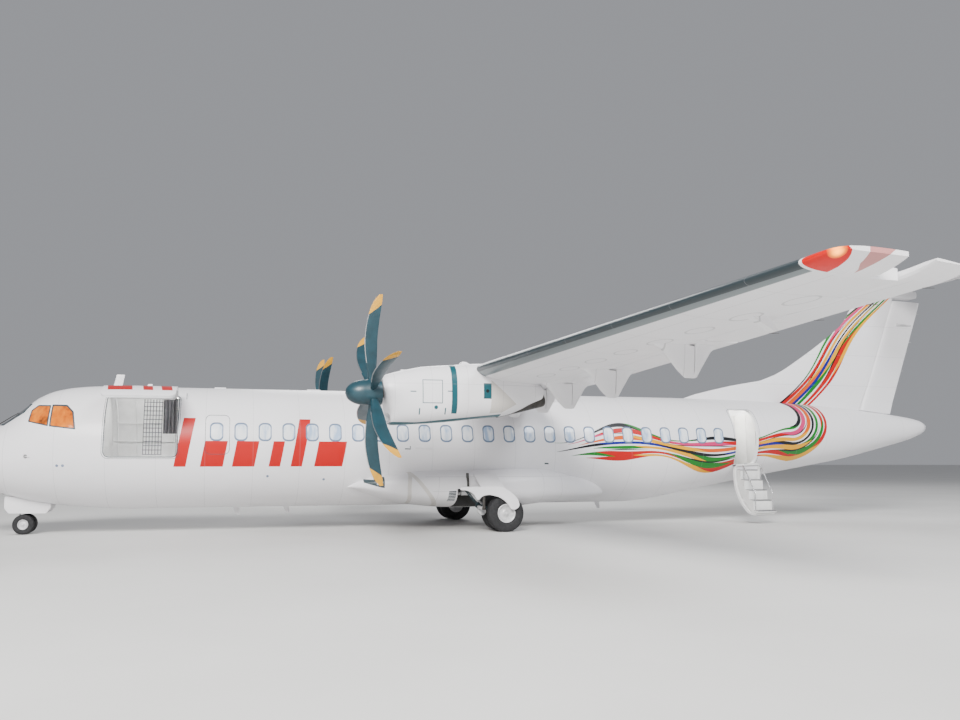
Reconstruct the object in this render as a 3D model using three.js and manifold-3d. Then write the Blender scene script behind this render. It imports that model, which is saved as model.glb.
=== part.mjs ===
// Twin turboprop airliner with a high wing and a T-tail, parked on its gear. Millimetres, +Z up.
// Stations (x) are measured aft from the nose tip, y to starboard, z up from the ground.
// The closing group moves the nose to x = -length / 2, so the origin lies on the ground at mid length.
import * as THREE from 'three';
import { mergeVertices } from 'three/addons/utils/BufferGeometryUtils.js';
import Module from 'manifold-3d';

const wasm = await Module();
wasm.setup();

// Driving dimensions
const length = 27166;
const halfSpan = 13525;
const bodyRadius = 1432.5;
const bodyAxisZ = 1980;
const gap = 0.3; // between pieces that touch
const bodySides = 32;

const wingRoot = { le: 11140, chord: 2570, zLe: 3520, zTe: 3255, thick: 0.165 };
const wingTip = { le: 11730, chord: 1780, zLe: 3630, zTe: 3520, thick: 0.12 }
const kinkY = 4900;
const tipY = 13100;
const lampEnd = 12230; // station where the wing tip's lamp stops
const wingJoinY = 4500;
const sparEnd = 0.70; // the fixed wing ends here, as a share of the chord
const flapStart = 0.712;

const nacelleY = 4050;
const hub = { x: 9010, z: 3041, tilt: THREE.MathUtils.degToRad(3) };
const propellerRadius = 1980;
const bladeCount = 6;
const bladeTurns = { left: 13.2, right: 35 }; // degrees at which the parked propellers stopped
const spinnerRadius = 280;
const hubFront = 150; // of the blade plane
const hubRear = 170;
const spinnerNose = 550;

const mainGear = { x: 12520, y: 2050, radius: 432, width: 250, spacing: 400, axle: 55 };
const noseGear = { x: 1750, radius: 225, width: 150, spacing: 330, axle: 32 };

const cargo = { from: 3560, to: 5090, low: 1750, high: 3140, wall: 60, open: 63, head: 0 };
const entry = { from: 19460, to: 20200, low: 1550, high: 3030, wall: 60, open: 160, head: 9 };
const doorClearance = 8;
const hingeBarrel = 14;
const entryPin = 12;

const finHinge = { low: [24735, 3130], high: [26115, 6560] };
const hingeAt = (z) => {
  const { low, high } = finHinge;
  return [low[0] + ((high[0] - low[0]) * (z - low[1])) / (high[1] - low[1]), 0, z];
};
const rudderPins = [[hingeAt(3060), hingeAt(3200)], [hingeAt(6660), hingeAt(6520)]];
const tail = { z: 7010, thick: 250, halfSpan: 3655 };

// Solids
function manifoldOf(geometry) {
  const bare = geometry.clone();
  for (const name of ['normal', 'uv']) if (bare.getAttribute(name)) bare.deleteAttribute(name);
  const merged = mergeVertices(bare, 1e-3);
  const index = merged.index.array;
  const faces = [];
  for (let i = 0; i < index.length; i += 3) {
    const [a, b, c] = [index[i], index[i + 1], index[i + 2]];
    if (a !== b && b !== c && c !== a) faces.push(a, b, c);
  }
  return new wasm.Manifold(new wasm.Mesh({
    numProp: 3,
    vertProperties: Float32Array.from(merged.getAttribute('position').array),
    triVerts: Uint32Array.from(faces),
  }));
}

function geometryOf(solid) {
  const mesh = solid.getMesh();
  const geometry = new THREE.BufferGeometry();
  geometry.setAttribute('position', new THREE.BufferAttribute(mesh.vertProperties.slice(), 3));
  geometry.setIndex(new THREE.BufferAttribute(mesh.triVerts.slice(), 1));
  return geometry;
}

const joinAll = (solids) => solids.reduce((whole, next) => whole.add(next));
const cutAll = (solid, tools) => tools.reduce((left, tool) => left.subtract(tool), solid);

// A closed skin over rings of equal count, capped at both ends
function loft(rings) {
  const sides = rings[0].length;
  const points = rings.flat();
  const faces = [];
  for (let r = 0; r + 1 < rings.length; r++) {
    for (let i = 0; i < sides; i++) {
      const [a, b] = [r * sides + i, r * sides + (i + 1) % sides];
      faces.push(a, b, a + sides, b, b + sides, a + sides);
    }
  }
  for (const [ring, first, turned] of [[rings[0], 0, true], [rings.at(-1), (rings.length - 1) * sides, false]]) {
    const centre = points.length;
    points.push([0, 1, 2].map((k) => ring.reduce((sum, p) => sum + p[k], 0) / sides));
    for (let i = 0; i < sides; i++) {
      const [a, b] = [first + i, first + (i + 1) % sides];
      faces.push(...(turned ? [b, a, centre] : [a, b, centre]));
    }
  }
  let volume = 0;
  for (let i = 0; i < faces.length; i += 3) {
    const [a, b, c] = [0, 1, 2].map((k) => new THREE.Vector3(...points[faces[i + k]]));
    volume += a.dot(b.cross(c));
  }
  if (volume < 0) faces.reverse();
  const geometry = new THREE.BufferGeometry();
  geometry.setAttribute('position', new THREE.Float32BufferAttribute(points.flat(), 3));
  geometry.setIndex(faces);
  return manifoldOf(geometry);
}

function box(x0, x1, y0, y1, z0, z1) {
  const shape = new THREE.BoxGeometry(x1 - x0, y1 - y0, z1 - z0);
  shape.translate((x0 + x1) / 2, (y0 + y1) / 2, (z0 + z1) / 2);
  return manifoldOf(shape);
}

// An outline in x and z, drawn out from y0 to y1
function slab(outline, y0, y1) {
  const shape = new THREE.Shape(outline.map(([x, z]) => new THREE.Vector2(x, z)));
  const geometry = new THREE.ExtrudeGeometry(shape, { depth: y1 - y0, bevelEnabled: false });
  geometry.rotateX(Math.PI / 2);
  geometry.translate(0, y1, 0);
  return manifoldOf(geometry);
}

// A round bar between two points
function bar(from, to, radius, sides = 16, endRadius = radius) {
  const [a, b] = [new THREE.Vector3(...from), new THREE.Vector3(...to)];
  const geometry = new THREE.CylinderGeometry(endRadius, radius, a.distanceTo(b), sides);
  geometry.translate(0, a.distanceTo(b) / 2, 0);
  const up = new THREE.Vector3(0, 1, 0);
  geometry.applyQuaternion(new THREE.Quaternion().setFromUnitVectors(up, b.clone().sub(a).normalize()));
  geometry.translate(a.x, a.y, a.z);
  return manifoldOf(geometry);
}

// A turned solid round the y axis, from a profile of radius and y
function turned(profile, sides = 32) {
  const points = profile.map(([r, y]) => new THREE.Vector2(r, y));
  return manifoldOf(new THREE.LatheGeometry(points, sides));
}

const mirrored = (solid) => solid.mirror([0, 1, 0]);

// Meshes
const paints = {
  white: new THREE.MeshStandardMaterial({ color: 0xeceaee, roughness: 0.35, metalness: 0.1 }),
  shade: new THREE.MeshStandardMaterial({ color: 0xdcd9d6, roughness: 0.45, metalness: 0.1 }),
  glass: new THREE.MeshStandardMaterial({ color: 0x11181f, roughness: 0.08, metalness: 0.0 }),
  blade: new THREE.MeshStandardMaterial({ color: 0x1c3846, roughness: 0.45, metalness: 0.1 }),
  metal: new THREE.MeshStandardMaterial({ color: 0x9aa0a4, roughness: 0.4, metalness: 0.8 }),
  gear: new THREE.MeshStandardMaterial({ color: 0xd8d8d6, roughness: 0.5, metalness: 0.2 }),
  tyre: new THREE.MeshStandardMaterial({ color: 0x1b1b1d, roughness: 0.85, metalness: 0.0 }),
  red: new THREE.MeshStandardMaterial({ color: 0xd01208, roughness: 0.2, metalness: 0.0 }),
  green: new THREE.MeshStandardMaterial({ color: 0x0a8a4a, roughness: 0.2, metalness: 0.0 }),
};

const aircraft = new THREE.Group();
aircraft.position.x = -length / 2;

function place(name, solid, paint, parent = aircraft) {
  const mesh = new THREE.Mesh(geometryOf(solid), paint);
  mesh.name = name;
  parent.add(mesh);
  return mesh;
}

function placePair(name, portSolid, paint) {
  place(`${name}_left`, portSolid, paint);
  place(`${name}_right`, mirrored(portSolid), paint);
}

// Rows of a table read at any station by a smooth curve through them
function sample(rows, station) {
  const last = rows.length - 1;
  let i = rows.findIndex((row) => row[0] > station) - 1;
  if (i < 0) i = station < rows[0][0] ? 0 : last - 1;
  const slope = (k, column) => {
    const [a, mid, b] = [rows[Math.max(k - 1, 0)], rows[k], rows[Math.min(k + 1, last)]];
    const inside = k > 0 && k < last;
    if (inside && (b[column] - mid[column]) * (mid[column] - a[column]) <= 0) return 0;
    return (b[column] - a[column]) / (b[0] - a[0]);
  };
  const width = rows[i + 1][0] - rows[i][0];
  const t = THREE.MathUtils.clamp((station - rows[i][0]) / width, 0, 1);
  return rows[i].map((start, column) => {
    if (column === 0) return station;
    const end = rows[i + 1][column];
    const [m0, m1] = [slope(i, column) * width, slope(i + 1, column) * width];
    return (2 * t ** 3 - 3 * t ** 2 + 1) * start + (t ** 3 - 2 * t ** 2 + t) * m0
      + (3 * t ** 2 - 2 * t ** 3) * end + (t ** 3 - t ** 2) * m1;
  });
}

// Columns: station, crown z, keel z, half width
const bodyRows = [
  [0, 1775, 1700, 60],
  [90, 1915, 1560, 225],
  [300, 2070, 1370, 430],
  [700, 2265, 1130, 690],
  [1200, 2480, 930, 930],
  [1730, 2905, 775, 1130],
  [2000, 3120, 720, 1210],
  [2300, 3262, 670, 1280],
  [2700, 3352, 625, 1350],
  [3200, 3400, 585, 1400],
  [3800, 3412, 552, 1428],
  [4400, 3412.5, 547.5, 1432.5],
  [16600, 3412.5, 547.5, 1432.5],
  [17600, 3412, 645, 1420],
  [18500, 3408, 805, 1380],
  [19500, 3400, 985, 1310],
  [20400, 3385, 1140, 1230],
  [21300, 3355, 1290, 1130],
  [22500, 3300, 1480, 970],
  [23900, 3215, 1715, 765],
  [25300, 3085, 2030, 530],
  [26300, 2965, 2270, 345],
  [26750, 2880, 2420, 235],
  [26950, 2800, 2520, 150],
  [27000, 2740, 2590, 75],
];

function ovalRing([x, crown, keel, halfWidth], grow = 0, power = 2, sides = bodySides) {
  const [centre, halfHeight] = [(crown + keel) / 2, (crown - keel) / 2 + grow];
  return Array.from({ length: sides }, (_, i) => {
    const angle = (2 * Math.PI * i) / sides;
    const [s, c] = [Math.sin(angle), Math.cos(angle)];
    const bend = (v) => Math.sign(v) * Math.abs(v) ** (2 / power);
    return [x, (halfWidth + grow) * bend(s), centre + halfHeight * bend(c)];
  });
}

function body(from, to, grow = 0) {
  const between = bodyRows.map((row) => row[0]).filter((x) => x > from + 1 && x < to - 1);
  return loft([from, ...between, to].map((x) => ovalRing(sample(bodyRows, x), grow)));
}

// The y of the body's port skin at a station and height
function skinY(station, z) {
  const [, crown, keel, halfWidth] = sample(bodyRows, station);
  const up = (z - (crown + keel) / 2) / ((crown - keel) / 2);
  return -halfWidth * Math.sqrt(1 - up * up);
}

// Wing sections
const mix = (a, b, t) => a + (b - a) * t;

function wingAt(y) {
  const t = Math.max(0, (Math.abs(y) - kinkY) / (tipY - kinkY));
  const row = {};
  for (const key of Object.keys(wingRoot)) row[key] = mix(wingRoot[key], wingTip[key], t);
  return row;
}

// Half thickness and camber of the section, as shares of the chord
const halfThickness = (f, thick) =>
  5 * thick * (0.2969 * Math.sqrt(f) - 0.126 * f - 0.3516 * f ** 2 + 0.2843 * f ** 3 - 0.1036 * f ** 4);
const camber = (f) => 0.08 * f * (1 - f);

function foilPoint(section, y, f, side, grow = 0) {
  const { le, chord, zLe, zTe, thick } = section;
  const z = mix(zLe, zTe, f) + chord * (camber(f) + side * halfThickness(f, thick)) + side * grow;
  return [le + chord * f, y, z];
}

// The section's outline between two shares of the chord; a moving surface gets a rounded front
function foilRing(section, y, from, to, { grow = 0, rounded = false } = {}) {
  const steps = 8;
  const spread = (i) => mix(from, to, from === 0 ? 1 - Math.cos((i / steps) * Math.PI / 2) : i / steps);
  const upper = Array.from({ length: steps + 1 }, (_, i) => foilPoint(section, y, spread(i), 1, grow));
  const lower = Array.from({ length: steps + 1 }, (_, i) => foilPoint(section, y, spread(i), -1, grow)).reverse();
  const ring = [...upper, ...lower];
  if (from === 0) {
    ring[0] = [ring[0][0] - grow, y, section.zLe + 1];
    ring[ring.length - 1] = [ring[0][0], y, section.zLe - 1];
  }
  if (rounded) {
    const pull = (p, mid, share) => { p[2] = mix(mid, p[2], share); };
    const mid = (ring[0][2] + ring[ring.length - 1][2]) / 2;
    for (const [i, share] of [[0, 0.45], [1, 0.9]]) {
      pull(ring[i], mid, share);
      pull(ring[ring.length - 1 - i], mid, share);
    }
  }
  if (to === 1) {
    const edge = 3;
    ring[steps] = [ring[steps][0], y, section.zTe + edge];
    ring[steps + 1] = [ring[steps][0], y, section.zTe - edge];
  }
  return ring;
}

function wingPiece(ys, from, to, options) {
  return loft(ys.map((y) => foilRing(wingAt(y), y, from, to, options)));
}

// The wing as a tool that leaves the gap round it
const seatSpan = [-4600, 4600];
const wingSeat = wingPiece(seatSpan, 0, sparEnd, { grow: gap + 0.2 })
  .add(wingPiece(seatSpan, sparEnd - 0.02, 1, { grow: gap + 0.2 }));

const noseWell = { half: 275, top: 1330 };

// Fuselage
const breaks = { nose: 3300, forward: 8900, center: 15300, aft: 21300 };
const half = gap / 2;

function glazingPrism(grow) {
  const outline = [[1330, 2560], [1800, 2385], [2945, 2345], [2935, 2890], [2420, 2915], [1700, 2885], [1330, 2700]];
  const middle = [2200, 2640];
  const grown = outline.map(([x, z]) => [x + Math.sign(x - middle[0]) * grow, z + Math.sign(z - middle[1]) * grow]);
  return slab(grown, -1500, 1500);
}

function noseParts() {
  const glassDepth = 40;
  const whole = body(0, breaks.nose - half);
  const core = body(0, breaks.nose - half, -glassDepth);
  const inner = body(0, breaks.nose - half, -glassDepth - gap);
  const pocket = glazingPrism(gap).subtract(inner);
  const well = box(1290, 2360, -noseWell.half, noseWell.half, 300, noseWell.top);
  place('nose_section', cutAll(whole, [pocket, well]), paints.white);
  place('cockpit_glazing', whole.intersect(glazingPrism(0)).subtract(core), paints.glass);
}

// A doorway with round corners, cut through the port side
const doorwayCorner = 110;
const panelCorner = 138;

function doorway({ from, to, low, high }, shrink, corner = doorwayCorner) {
  const [x0, x1, z0, z1] = [from + shrink, to - shrink, low + shrink, high - shrink];
  const outline = [];
  for (const [cx, cz, start] of [[x1, z1, 0], [x0, z1, 1], [x0, z0, 2], [x1, z0, 3]]) {
    const [px, pz] = [cx + (cx === x1 ? -corner : corner), cz + (cz === z1 ? -corner : corner)];
    for (let i = 0; i <= 4; i++) {
      const angle = (start + i / 4) * (Math.PI / 2);
      outline.push([px + corner * Math.cos(angle), pz + corner * Math.sin(angle)]);
    }
  }
  return slab(outline, -bodyRadius - 200, -bodyRadius + 700);
}

// The line a door turns about: along x, just outside the skin
const cargoHinge = { y: skinY(cargo.from, cargo.high) - 2, z: cargo.high - 2 };
const entryHinge = { y: skinY(entry.from, entry.low) - 10, z: entry.low - 4 };

function turnAbout(solid, { y, z }, degrees) {
  return solid.translate([0, -y, -z]).rotate([degrees, 0, 0]).translate([0, y, z]);
}

// Bars along a door's hinge line, over shares of its width
function barrels({ from, to }, { y, z }, spans, radius, slack = 0) {
  const at = (share) => [mix(from, to, share), y, z];
  return joinAll(spans.map(([a, b]) => bar(at(a - slack), at(b + slack), radius, 16)));
}

const cargoSpans = [[0.12, 0.24], [0.76, 0.88]];
const entryLugs = [[0.27, 0.33], [0.67, 0.73]];
const entryWebs = [[0.19, 0.255], [0.345, 0.655], [0.745, 0.81]];

// A pin from one point to another, and the bore that it turns in
const pinSize = { radius: 16, play: 0.3 };

function pinAndBore(from, to, { before = 0 } = {}) {
  const sides = 12;
  const room = (pinSize.radius + pinSize.play) / Math.cos(Math.PI / sides);
  const [a, b] = [new THREE.Vector3(...from), new THREE.Vector3(...to)];
  const along = b.clone().sub(a).normalize();
  const [start, end] = [a.addScaledVector(along, -before), b.clone().addScaledVector(along, 6)];
  return { pin: bar(from, to, pinSize.radius, sides), bore: bar(start.toArray(), end.toArray(), room, sides) };
}

// An outline in y and z, drawn out from x0 to x1
function crossSlab(outline, x0, x1) {
  return slab(outline.map(([y, z]) => [-y, z]), x0, x1).rotate([0, 0, -90]);
}

function fuselageParts() {
  const hold = body(3400, 5420, -cargo.wall).intersect(box(3400, 5420, -1500, 1500, 1480, 3220));
  const lobby = body(19300, 20460, -entry.wall).intersect(box(19300, 20460, -1500, 1500, 1500, 3200));
  place('forward_fuselage', cutAll(body(breaks.nose + half, breaks.forward - half), [
    hold, doorway(cargo, 0), barrels(cargo, cargoHinge, cargoSpans, hingeBarrel + 1, 0.002)]), paints.white);
  place('center_fuselage', body(breaks.forward + half, breaks.center - half).subtract(wingSeat), paints.white);
  const shell = cutAll(body(breaks.center + half, breaks.aft - half), [lobby, doorway(entry, 0)]);
  const lugs = entryLugs.map((span) => {
    const [x0, x1] = span.map((share) => mix(entry.from, entry.to, share));
    const { y, z } = entryHinge;
    return crossSlab([[y + 250, z - 26], [y + 250, z - 120], [y + 20, z - 60], [y - 22, z - 26], [y - 26, z],
      [y - 18, z + 18], [y, z + 26], [y + 30, z + 2]], x0, x1);
  });
  place('aft_fuselage', joinAll([shell, ...lugs])
    .subtract(barrels(entry, entryHinge, [[0.05, 0.95]], entryPin + 0.6)), paints.white);
  const { pin } = pinAndBore(...rudderPins[0]);
  place('tail_cone', body(breaks.aft + half, 27000).add(pin), paints.white);
}

// A panel's head stops short of the doorway's by the further room that its swing needs
function shellPanel(door, from, to) {
  const opening = { ...door, high: door.high - door.head };
  return body(from, to).subtract(body(from - 1, to + 1, -door.wall))
    .intersect(doorway(opening, doorClearance, panelCorner));
}

function cargoDoor() {
  const panel = shellPanel(cargo, cargo.from, cargo.to);
  const closed = panel.add(barrels(cargo, cargoHinge, cargoSpans, hingeBarrel));
  place('cargo_door', turnAbout(closed, cargoHinge, -cargo.open), paints.white);
}

// The airstair as it hangs: treads level, noses on the door's chord, rails over both sides;
// all of it swings inside the reach, under the doorway's head
const stair = { steps: 5, rise: 262, run: 164, side: 90, rail: 430, reach: 1478 };

function passengerDoor() {
  const { y, z } = entryHinge;
  const webs = entryWebs.map((span) => {
    const [x0, x1] = span.map((share) => mix(entry.from, entry.to, share));
    const edge = skinY(x1, entry.low + doorClearance) + 45;
    return crossSlab([[y - 8, z], [y, z - 8], [y + 4, z - 2], [y + 1, z + 11], [edge, entry.low + doorClearance],
      [edge, entry.low + doorClearance + 16], [y - 12, z + 20]], x0, x1);
  });
  const closed = joinAll([shellPanel(entry, entry.from, entry.to), ...webs,
    barrels(entry, entryHinge, [[0.1, 0.9]], entryPin)]);
  const open = (solid) => turnAbout(solid, entryHinge, entry.open);
  const noses = [];
  for (let i = 1; i <= stair.steps; i++) {
    noses.push([y - (i - 1) * stair.run, z - i * stair.rise + 120], [y - i * stair.run, z - i * stair.rise + 120]);
  }
  const under = [[noses.at(-1)[0], noses.at(-1)[1] - 500], [y, noses.at(-1)[1] - 500]];
  const [x0, x1] = [entry.from + stair.side, entry.to - stair.side];
  const teeth = crossSlab([...noses, ...under], x0, x1)
    .intersect(open(body(entry.from - 200, entry.to + 200, -entry.wall + 20)));
  const down = [-stair.run, -stair.rise];
  const rails = [x0 + 20, x1 - 20].map((x) => {
    const at = (step, lift) => [x, y + down[0] * step, z + down[1] * step + lift];
    return joinAll([
      bar(at(1.75, -190), at(1.75, stair.rail), 14, 10), bar(at(4.4, -190), at(4.4, stair.rail), 14, 10),
      bar(at(1.7, stair.rail), at(4.45, stair.rail), 16, 10),
    ]);
  });
  const swing = bar([x0, y, z], [x1, y, z], stair.reach, 96);
  const stairs = joinAll([teeth, ...rails]).intersect(swing);
  place('passenger_door', joinAll([open(closed), stairs]), paints.white);
}

// Fairings over the wing's root and round the main gear
// Columns: station, top z, bottom z, half width
const crestRows = [
  [10150, 3330, 3000, 420],
  [10500, 3520, 3000, 820],
  [11000, 3780, 3000, 1010],
  [11700, 3870, 3000, 1080],
  [13000, 3860, 3000, 1080],
  [13900, 3720, 3000, 1000],
  [14600, 3530, 3000, 800],
  [15250, 3380, 3000, 420],
];

const bellyRows = [
  [8950, 1070, 990, 1050],
  [9300, 1260, 900, 1300],
  [9800, 1390, 740, 1520],
  [10300, 1450, 620, 1680],
  [10800, 1480, 550, 1770],
  [11400, 1500, 500, 1800],
  [12000, 1500, 490, 1800],
  [13300, 1540, 500, 1790],
  [13900, 1520, 560, 1720],
  [14500, 1400, 600, 1560],
  [15200, 1230, 640, 1300],
  [15700, 1050, 720, 900],
];

const wheelWell = { from: 11500, to: 12960, inner: 1080, top: 985 };

function fairings() {
  const clear = body(8000, 16500, gap);
  const crest = loft(crestRows.map((row) => ovalRing(row, 0, 2.6, 24)));
  place('wing_body_fairing', cutAll(crest, [clear, wingSeat]), paints.white);
  const belly = loft(bellyRows.map((row) => ovalRing(row, 0, 3, 28)));
  const well = (side) => {
    const ys = [side * wheelWell.inner, side * 2100].sort((a, b) => a - b);
    return box(wheelWell.from, wheelWell.to, ys[0], ys[1], 200, wheelWell.top);
  };
  place('belly_fairing', cutAll(belly, [clear, well(-1), well(1)]), paints.white);
}

// Flap tracks: one deep pod under each hinge, split in a front half on the wing and a rear half on the flap
// Columns: y, pivot station, pivot z
const outerPods = [
  [4660, 13035, 2800],
  [6620, 13000, 2872.5],
  [9200, 12954, 2968],
];
const innerPods = [
  [1500, 13035, 2800],
  [3300, 13035, 2800],
];
const pod = { ahead: 620, behind: 545, below: 84, width: 150, split: 90, runningGap: 0.6, play: 9 };

// How far a hinge line moves aft and up over each millimetre outboard
function drift(pods) {
  const [first, last] = [pods[0], pods.at(-1)];
  return [1, 2].map((k) => (last[k] - first[k]) / (last[0] - first[0]));
}

function podParts([y, px, pz], _, pods) {
  const [aft, up] = drift(pods);
  const section = wingAt(y);
  const surface = (x) => foilPoint(section, y, (x - section.le) / section.chord, -1)[2];
  const [front, rear] = [px - pod.ahead, px + pod.behind];
  const top = [front, px - 300, px - 60, px + 120, px + 330, rear].map((x) => [x, surface(x) + 14]);
  const outline = [...top, [px + 230, pz + 60], [px + 150, pz - pod.below + 8], [px + 70, pz - pod.below],
    [px - 60, pz - pod.below + 6], [px - 190, pz + 40]];
  const whole = slab(outline, -y - pod.width / 2, -y + pod.width / 2);
  const far = 2000;
  const round = (radius) => bar([px + 200 * aft, -y - 200, pz + 200 * up],
    [px - 200 * aft, -y + 200, pz - 200 * up], radius, 32);
  const ahead = box(px - far, px, -y - 200, -y + 200, pz - far, pz + far);
  const above = (reach) => box(px - 1, px + reach, -y - 200, -y + 200, pz, pz + far);
  const clearOfFlap = box(section.le + sparEnd * section.chord - 5, px + far, -y - 200, -y + 200, pz, pz + far)
    .subtract(round(surface(px) - pz - 16));
  const aheadPart = whole.intersect(joinAll([ahead, round(pod.split), above(pod.split - 4)])).subtract(clearOfFlap);
  const behindPart = cutAll(whole, [ahead, round(pod.split + pod.runningGap), above(pod.split + pod.play)]);
  return { ahead: aheadPart, behind: behindPart };
}

const aileronHinge = 0.745;
const aileronPod = { y: 11200, from: 12560, to: 13250, depth: 190, width: 120 };

function wingParts() {
  const filler = (y0, y1) => wingPiece([y0, y1], sparEnd - 0.02, 1, { grow: -1.5 });
  const inner = innerPods.map(podParts);
  const fixed = wingPiece([-wingJoinY, wingJoinY], 0, sparEnd, {});
  const middle = joinAll([fixed, filler(-1190, 1190), filler(-4490, -3620), filler(3620, 4490),
    ...inner.flatMap((part) => [part.ahead, mirrored(part.ahead)])]);
  place('wing_center', middle, paints.white);

  const outer = outerPods.map(podParts);
  const panel = wingPiece([-wingJoinY - gap, -kinkY, -tipY], 0, sparEnd, {});
  const cap = tipPiece(0, 0.5);
  const lampBlock = box(11000, lampEnd, -halfSpan - 50, -tipY - 60, 3000, 4200);
  const y = -aileronPod.y;
  const section = wingAt(y);
  const under = (x) => foilPoint(section, y, (x - section.le) / section.chord, -1)[2] + 12;
  const bulge = slab([[aileronPod.from, under(aileronPod.from)], [12820, under(12820)],
    [12990, under(12900) - aileronPod.depth], [12880, under(12880) - aileronPod.depth]],
  y - aileronPod.width / 2, y + aileronPod.width / 2)
    .intersect(box(12000, section.le + (sparEnd - 0.004) * section.chord, y - 100, y + 100, 2500, 4000));
  const hinge = aileronBracket();
  placePair('wing_outer', joinAll([panel, cap, bulge, hinge.bracket, ...outer.map((part) => part.ahead)])
    .subtract(lampBlock), paints.white);
  const lamp = cap.intersect(box(11000, lampEnd - gap, -halfSpan - 50, -tipY - 60 - gap, 3000, 4200));
  place('nav_lamp_left', lamp, paints.red);
  place('nav_lamp_right', mirrored(lamp), paints.green);

  const flapInner = joinAll([wingPiece([-3600, -1205], flapStart, 1, { rounded: true }),
    ...inner.map((part) => part.behind)]);
  placePair('flap_inner', flapInner, paints.white);
  const flapOuter = joinAll([wingPiece([-9560, -kinkY, -4520], flapStart, 1, { rounded: true }),
    ...outer.map((part) => part.behind)]);
  placePair('flap_outer', flapOuter, paints.white);

  const aileron = wingPiece([-tipY - 1, -9600], flapStart + 0.004, 1, { rounded: true });
  const moving = aileron.add(tipPiece(flapStart + 0.004, 1, { rounded: true }));
  placePair('aileron', moving.subtract(hinge.room), paints.white);
}

// The plate that carries the aileron's pin, and the slot and bores that clear both
function aileronBracket() {
  const middle = (y) => {
    const [upper, lower] = [1, -1].map((side) => foilPoint(wingAt(y), y, aileronHinge, side));
    return [upper[0], y, (upper[2] + lower[2]) / 2];
  };
  const [x, y, z] = middle(-aileronPod.y);
  const plate = (reach, width) => box(x - 200, x, y - width, y + width, z - reach, z + reach)
    .add(bar([x, y - width, z], [x, y + width, z], reach, 20));
  const reach = 26;
  const ends = [middle(-aileronPod.y - 45), middle(-aileronPod.y + 45)];
  const { pin, bore } = pinAndBore(...ends, { before: 6 });
  return { bracket: plate(reach, 8).add(pin), room: plate(reach + 22, 14).add(bore) };
}

// The rounded end of the wing past the last rib
function tipPiece(from, to, options) {
  // Columns: y, share of the tip thickness left, how far the front edge draws back, how far the end turns up
  const rows = [
    [tipY, 1, 0, 0],
    [13300, 0.92, 30, 20],
    [13430, 0.7, 90, 45],
    [halfSpan, 0.3, 190, 70],
  ];
  return loft(rows.map(([y, share, back, rise]) => {
    const { le, chord, zLe, zTe, thick } = wingTip;
    const section = { le: le + back, chord: chord - back * 1.25, zLe: zLe + rise, zTe: zTe + rise, thick: thick * share };
    return foilRing(section, -y, from, to, options);
  }));
}

// Nacelles, engines and propellers
// Columns: station, top z, bottom z, half width, how far the lower half leans aft
const nacelleRows = [
  [9200, 3335, 2425, 300, 140],
  [9225, 3362, 2385, 345, 140],
  [9290, 3400, 2370, 380, 130],
  [9450, 3450, 2374, 408, 100],
  [9720, 3513, 2385, 432, 50],
  [10050, 3580, 2402, 448, 0],
  [10700, 3636, 2458, 460, 0],
  [11130, 3668, 2510, 460, 0],
  [11560, 3687, 2555, 455, 0],
  [11800, 3670, 2580, 440, 0],
  [12150, 3520, 2700, 385, 0],
  [12400, 3400, 2830, 335, 0],
  [12650, 3230, 2935, 280, 0],
];
const exhaust = { from: [11300, 250 - nacelleY, 2620], to: [12900, 450 - nacelleY, 3000], radius: 170 };

function nacelleRing(row) {
  const lean = (z) => row[4] * Math.min(1, Math.max(0, (3150 - z) / 500));
  return ovalRing(row, 0, 2.7, 20).map(([x, y, z]) => [x + lean(z), y - nacelleY, z]);
}

function nacelleParts() {
  const skin = loft(nacelleRows.map(nacelleRing));
  const y = -nacelleY;
  const block = box(9650, 11000, y - 300, y + 300, 2620, 3320);
  const shaft = (radius, reach) => {
    const slope = Math.tan(hub.tilt);
    return bar([hub.x + reach, y, hub.z + reach * slope], [9700, y, hub.z + (9700 - hub.x) * slope], radius, 16);
  };
  const engine = block.add(shaft(150, hubRear + gap));
  const bay = box(9650 - gap, 11000 + gap, y - 300 - gap, y + 300 + gap, 2620 - gap, 3320 + gap);
  const intake = loft([[9250, 2640, 2405, 250], [9600, 2580, 2430, 200], [9900, 2540, 2440, 150]]
    .map((row) => ovalRing(row, 0, 2.6, 16))).translate([0, y, 0]);
  const along = (share) => exhaust.from.map((v, k) => mix(v, exhaust.to[k], share));
  const pipe = bar(along(0), along(1), exhaust.radius, 14);
  const bore = bar(along(0.8), along(1.1), exhaust.radius - 22, 14);
  placePair('nacelle', cutAll(skin.add(pipe), [bay, shaft(151, hubRear - 40), intake, bore, wingSeat]), paints.white);
  placePair('engine', engine, paints.metal);
}

// Columns: radius, chord, aft offset of the middle, thickness, twist in degrees from the parked setting
const bladeRows = [
  [200, 150, 0, 110, 20],
  [330, 165, 0, 80, 18],
  [600, 235, -5, 46, 13],
  [1000, 272, -15, 30, 7],
  [1400, 262, 25, 20, 2],
  [1700, 218, 90, 14, -3],
  [1880, 150, 150, 10, -6],
  [propellerRadius, 70, 200, 6, -7],
];

function blade() {
  const sides = 8;
  return loft(bladeRows.map(([radius, chord, back, thick, twist]) => {
    const turn = THREE.MathUtils.degToRad(twist);
    return Array.from({ length: sides }, (_, i) => {
      const angle = (2 * Math.PI * i) / sides;
      const [along, across] = [(chord / 2) * Math.cos(angle), (thick / 2) * Math.sin(angle)];
      const x = back + along * Math.cos(turn) - across * Math.sin(turn);
      return [x, along * Math.sin(turn) + across * Math.cos(turn), radius];
    });
  }));
}

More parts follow.
